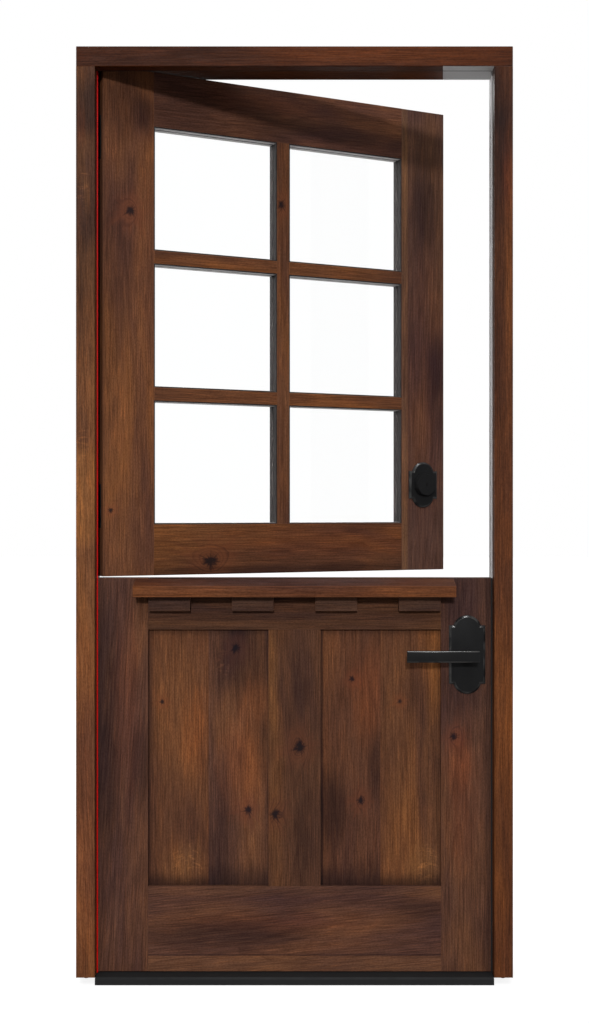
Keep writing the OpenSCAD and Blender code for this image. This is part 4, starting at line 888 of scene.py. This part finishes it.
# Panels
# Flat panels, each glued up from two boards and left loose in its groove so that it can swell.
# Painted shade darkens them along the edges of the frame round them.
# Some patches are painted shade: the thin dark lines at the panels' left edges, beside the stile and the
# mullion, and the dark bands along their feet
panel_boards = {
    "left_panel": (
        dict(
            seed=15, pith=(0.0, -0.09, 0.03), stain=(0.92, 0.94, 0.92),
            knots=[(-0.301, 0.629, 0.004)], feathers=[(-0.240, 0.262, 0.060, 0.050)],
            patches=[
                (-0.334, 0.500, 2.0, 0.006, 0.4, 0.4, DARK), (-0.245, 0.255, 0.045, 0.040, 0.7, 0.22, TAN),
                (-0.260, 0.205, 0.030, 1.0, 0.6, 0.68, DARK), (-0.270, 0.500, 0.30, 0.05, 0.7, 0.4, AMBER),
                (-0.225, 0.560, 0.08, 0.03, 0.7, 0.35, ORANGE)]),
        dict(
            seed=16, pith=(0.0, 0.01, 0.06), stain=(0.76, 0.87, 1.12),
            knots=[(-0.134, 0.752, 0.008), (-0.105, 0.381, 0.007)], feathers=[(-0.160, 0.712, 0.05, 0.022)],
            patches=[
                (-0.120, 0.728, 0.10, 0.065, 0.5, 0.60, DARK), (-0.076, 0.550, 0.07, 0.015, 0.6, 0.45, DARK),
                (-0.119, 0.480, 0.09, 0.045, 0.7, 0.6, ORANGE), (-0.090, 0.630, 0.05, 0.03, 0.7, 0.4, ORANGE),
                (-0.160, 0.300, 0.10, 0.03, 0.7, 0.4, DARK), (-0.130, 0.205, 0.045, 1.0, 0.6, 0.72, DARK)]),
    ),
    "right_panel": (
        dict(
            seed=17, pith=(0.0, 0.02, 0.07), stain=(0.74, 0.78, 0.89),
            knots=[(0.131, 0.681, 0.005), (0.151, 0.405, 0.006)],
            patches=[
                (0.060, 0.500, 2.0, 0.0045, 0.3, 0.75, DARK), (0.187, 0.480, 0.07, 0.016, 0.6, 0.6, DARK),
                (0.085, 0.385, 0.09, 0.028, 0.6, 0.75, DARK), (0.168, 0.650, 0.09, 0.035, 0.7, 0.65, ORANGE),
                (0.130, 0.205, 0.045, 1.0, 0.6, 0.72, DARK)]),
        dict(
            seed=18, pith=(0.0, 0.10, 0.03), stain=(0.88, 0.91, 0.90),
            knots=[(0.240, 0.630, 0.004)], feathers=[(0.300, 0.262, 0.060, 0.040)],
            patches=[
                (0.297, 0.255, 0.045, 0.036, 0.7, 0.22, TAN), (0.260, 0.205, 0.030, 1.0, 0.6, 0.68, DARK),
                (0.255, 0.560, 0.28, 0.05, 0.7, 0.35, AMBER), (0.318, 0.480, 0.30, 0.022, 0.6, 0.5, AMBER)]),
    ),
}
PANEL_EASE, PANEL_SHADE_RIM = 0.0004, 0.030
for name, (left_traits, right_traits) in panel_boards.items():
    low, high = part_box(name)
    seam = (low + high) / 2
    piece = eased_copy(name, PANEL_EASE, board(name, UPRIGHT, shade_rim=PANEL_SHADE_RIM, **left_traits))
    scored(piece, seam, Vector((1.0, 0.0, 0.0)))
    right_wood = board(name, UPRIGHT, shade_rim=PANEL_SHADE_RIM, **right_traits)
    second_finish(piece, right_wood, lambda face: face.center.x > seam.x)

# Shelf and dentils
# A weathered shelf nailed under the top edge of the lower leaf, on four dentil blocks.
# Its front edge is lighter than its sloping top.
shelf_wood = board(
    "dentil_shelf", LEVEL, 19, pith=(0.0, -0.03, 0.05), stain=(0.59, 0.56, 0.67), sheen=0.02,
    patches=[(0.0, 0.883, 3.0, 0.0125, 0.06, 0.6, AMBER)])
SHELF_EASE = 0.0016
eased_copy("dentil_shelf", SHELF_EASE, shelf_wood)
block_wood = board("dentil_blocks", LEVEL, 20, pith=(0.0, 0.05, 0.05), stain=(0.60, 0.75, 1.0))
eased_copy("dentil_blocks", ARRIS, block_wood)

# Leaf halves of the lower hinges
# Plates of the same coated steel, let into the edge of the lower hinge stile and screwed there.
# Each has two knuckles, as above.
eased_copy("lower_hinge_plates", SHEET_EASE, black_coat)

# Lever set
# A shouldered black plate and a bar lever on each side, joined by a square steel spindle.
# Two screws from inside clamp the plates through the stile.
LEVER_EASE = 0.0007
for part, ease in (
    ("front_lever_plate", CAST_EASE), ("rear_lever_plate", CAST_EASE),
    ("front_lever", LEVER_EASE), ("rear_lever", LEVER_EASE),
):
    eased_copy(part, ease, black_coat)
eased_copy("lever_spindle", SHEET_EASE, bright_steel)

# Latch
# A sprung round bolt of steel with a sloped nose, in a tubular case bored into the lock stile.
# A black faceplate, screwed to the stile's edge, holds the case.
eased_copy("latch_faceplate", SHEET_EASE, black_coat)
for part in ("latch_case", "latch_bolt"):
    eased_copy(part, TURNED_EASE, bright_steel)

# Joining bolt
# A black rod with a knob that slides in two guides on the inner face of the lower leaf.
# Pushed up into its keeper, it makes the two leaves one.
eased_copy("joining_bolt_base", CAST_EASE, black_coat)
BOLT_EASE = 0.0006
eased_copy("joining_bolt", BOLT_EASE, black_coat)

# Screws of the lower leaf
# Cross-head screws of coated steel, sunk flush with what they hold.
# They fix its hinge plates, faceplate, lever plate and joining bolt.
cross_head_screws("lower_leaf_screws")

# Floor
# A plain pale sheet under the door, a hair below its foot.
# It reads as white to the eye and still takes the door's shadow.
FLOOR_HALF, FLOOR_DROP = 30.0, 0.0005
FLOOR_GREY, FLOOR_GLOW = (0.34, 0.34, 0.34, 1.0), 0.82
floor_mesh = bpy.data.meshes.new("floor")
corners = [(x, y, -FLOOR_DROP) for x, y in ((-1, -1), (1, -1), (1, 1), (-1, 1))]
floor_mesh.from_pydata([(x * FLOOR_HALF, y * FLOOR_HALF, z) for x, y, z in corners], [], [(0, 1, 2, 3)])
floor = bpy.data.objects.new("floor", floor_mesh)
bpy.context.scene.collection.objects.link(floor)


def seen_directly(tree):
    """1 where the eye, a reflection or glass looks straight at the surroundings."""
    path = put(tree, "LightPath").outputs
    seen = sums(tree, "MAXIMUM", path["Is Camera Ray"], path["Is Glossy Ray"])
    return sums(tree, "MAXIMUM", seen, path["Is Transmission Ray"])


pale_floor, tree, surface, place = new_material("pale_floor", Roughness=1.0, Specular_IOR_Level=0.0)
WHITE = (1.0, 1.0, 1.0, 1.0)
surface.inputs["Base Color"].default_value = FLOOR_GREY
surface.inputs["Emission Color"].default_value = WHITE
tree.links.new(sums(tree, "MULTIPLY", seen_directly(tree), FLOOR_GLOW), surface.inputs["Emission Strength"])
floor_mesh.materials.append(pale_floor)

# Light
# A key from the front, just above the head, a softer one higher up, a weak fill behind, and pale air
# all round. An overhead panel only glints in bevels and does not light the wood.

# Keys are (rise and turn in degrees, strength, spread in degrees), panels (place, aim, power, size).
KEYS = {"key": (17.0, -2.0, 1.75, 5.0), "high_key": (50.0, 0.0, 1.0, 30.0)}
PANELS = {
    "glint": ((0.3, -1.15, 6.0), (0.2, -0.05, 0.9), 460.0, 1.7),
    "rear_fill": ((-1.6, 4.2, 3.0), (0.0, 0.0, 1.0), 110.0, 2.5),
}
KEY_REACH = 4.0
AIR_LOW, AIR_HIGH = 0.04, 0.36
world = bpy.data.worlds.new("pale_air")
bpy.context.scene.world = world
world.use_nodes = True
air = world.node_tree
skyward = put(air, "SeparateXYZ", {0: put(air, "TexCoord").outputs["Generated"]}).outputs["Z"]
ambient = eased_range(air, skyward, -0.5, 1.0, AIR_LOW, AIR_HIGH)
level = sums(air, "MAXIMUM", seen_directly(air), ambient)
air.links.new(level, air.nodes["Background"].inputs["Strength"])
air.nodes["Background"].inputs["Color"].default_value = WHITE


def lamp(name, kind, place, aim, **settings):
    """A lamp at a place, pointed at another."""
    data = bpy.data.lights.new(name, kind)
    for key, value in settings.items():
        setattr(data, key, value)
    made = bpy.data.objects.new(name, data)
    made.location = place
    made.rotation_euler = (Vector(aim) - Vector(place)).to_track_quat("-Z", "Y").to_euler()
    made.visible_camera = made.visible_transmission = False
    bpy.context.scene.collection.objects.link(made)
    return made


for name, (rise, turn, strength, spread) in KEYS.items():
    from_front = Vector((0.0, -KEY_REACH, 0.0))
    from_front.rotate(Euler((-math.radians(rise), 0.0, 0.0)))
    from_front.rotate(Euler((0.0, 0.0, math.radians(turn))))
    lamp(name, "SUN", from_front, (0.0, 0.0, 0.0), energy=strength, angle=math.radians(spread))
for name, (spot, aim, power, width) in PANELS.items():
    panel_lamp = lamp(name, "AREA", spot, aim, energy=power, size=width)
    panel_lamp.visible_diffuse = name != "glint"

# Camera
# Level with the middle of the door and square to it, at the distance the photograph was taken from.
CAMERA_DISTANCE, CAMERA_HEIGHT = 3.186, 1.0604
LENS, SENSOR_WIDTH = 50.0, 36.0
camera = bpy.data.objects.new("camera", bpy.data.cameras.new("camera"))
camera.location = (0.0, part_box("head_jamb")[0].y - CAMERA_DISTANCE, CAMERA_HEIGHT)
camera.rotation_euler = (math.radians(90.0), 0.0, 0.0)
camera.data.lens = LENS
camera.data.sensor_width = SENSOR_WIDTH
bpy.context.scene.collection.objects.link(camera)
bpy.context.scene.camera = camera
bpy.context.scene.view_settings.view_transform = "Standard"
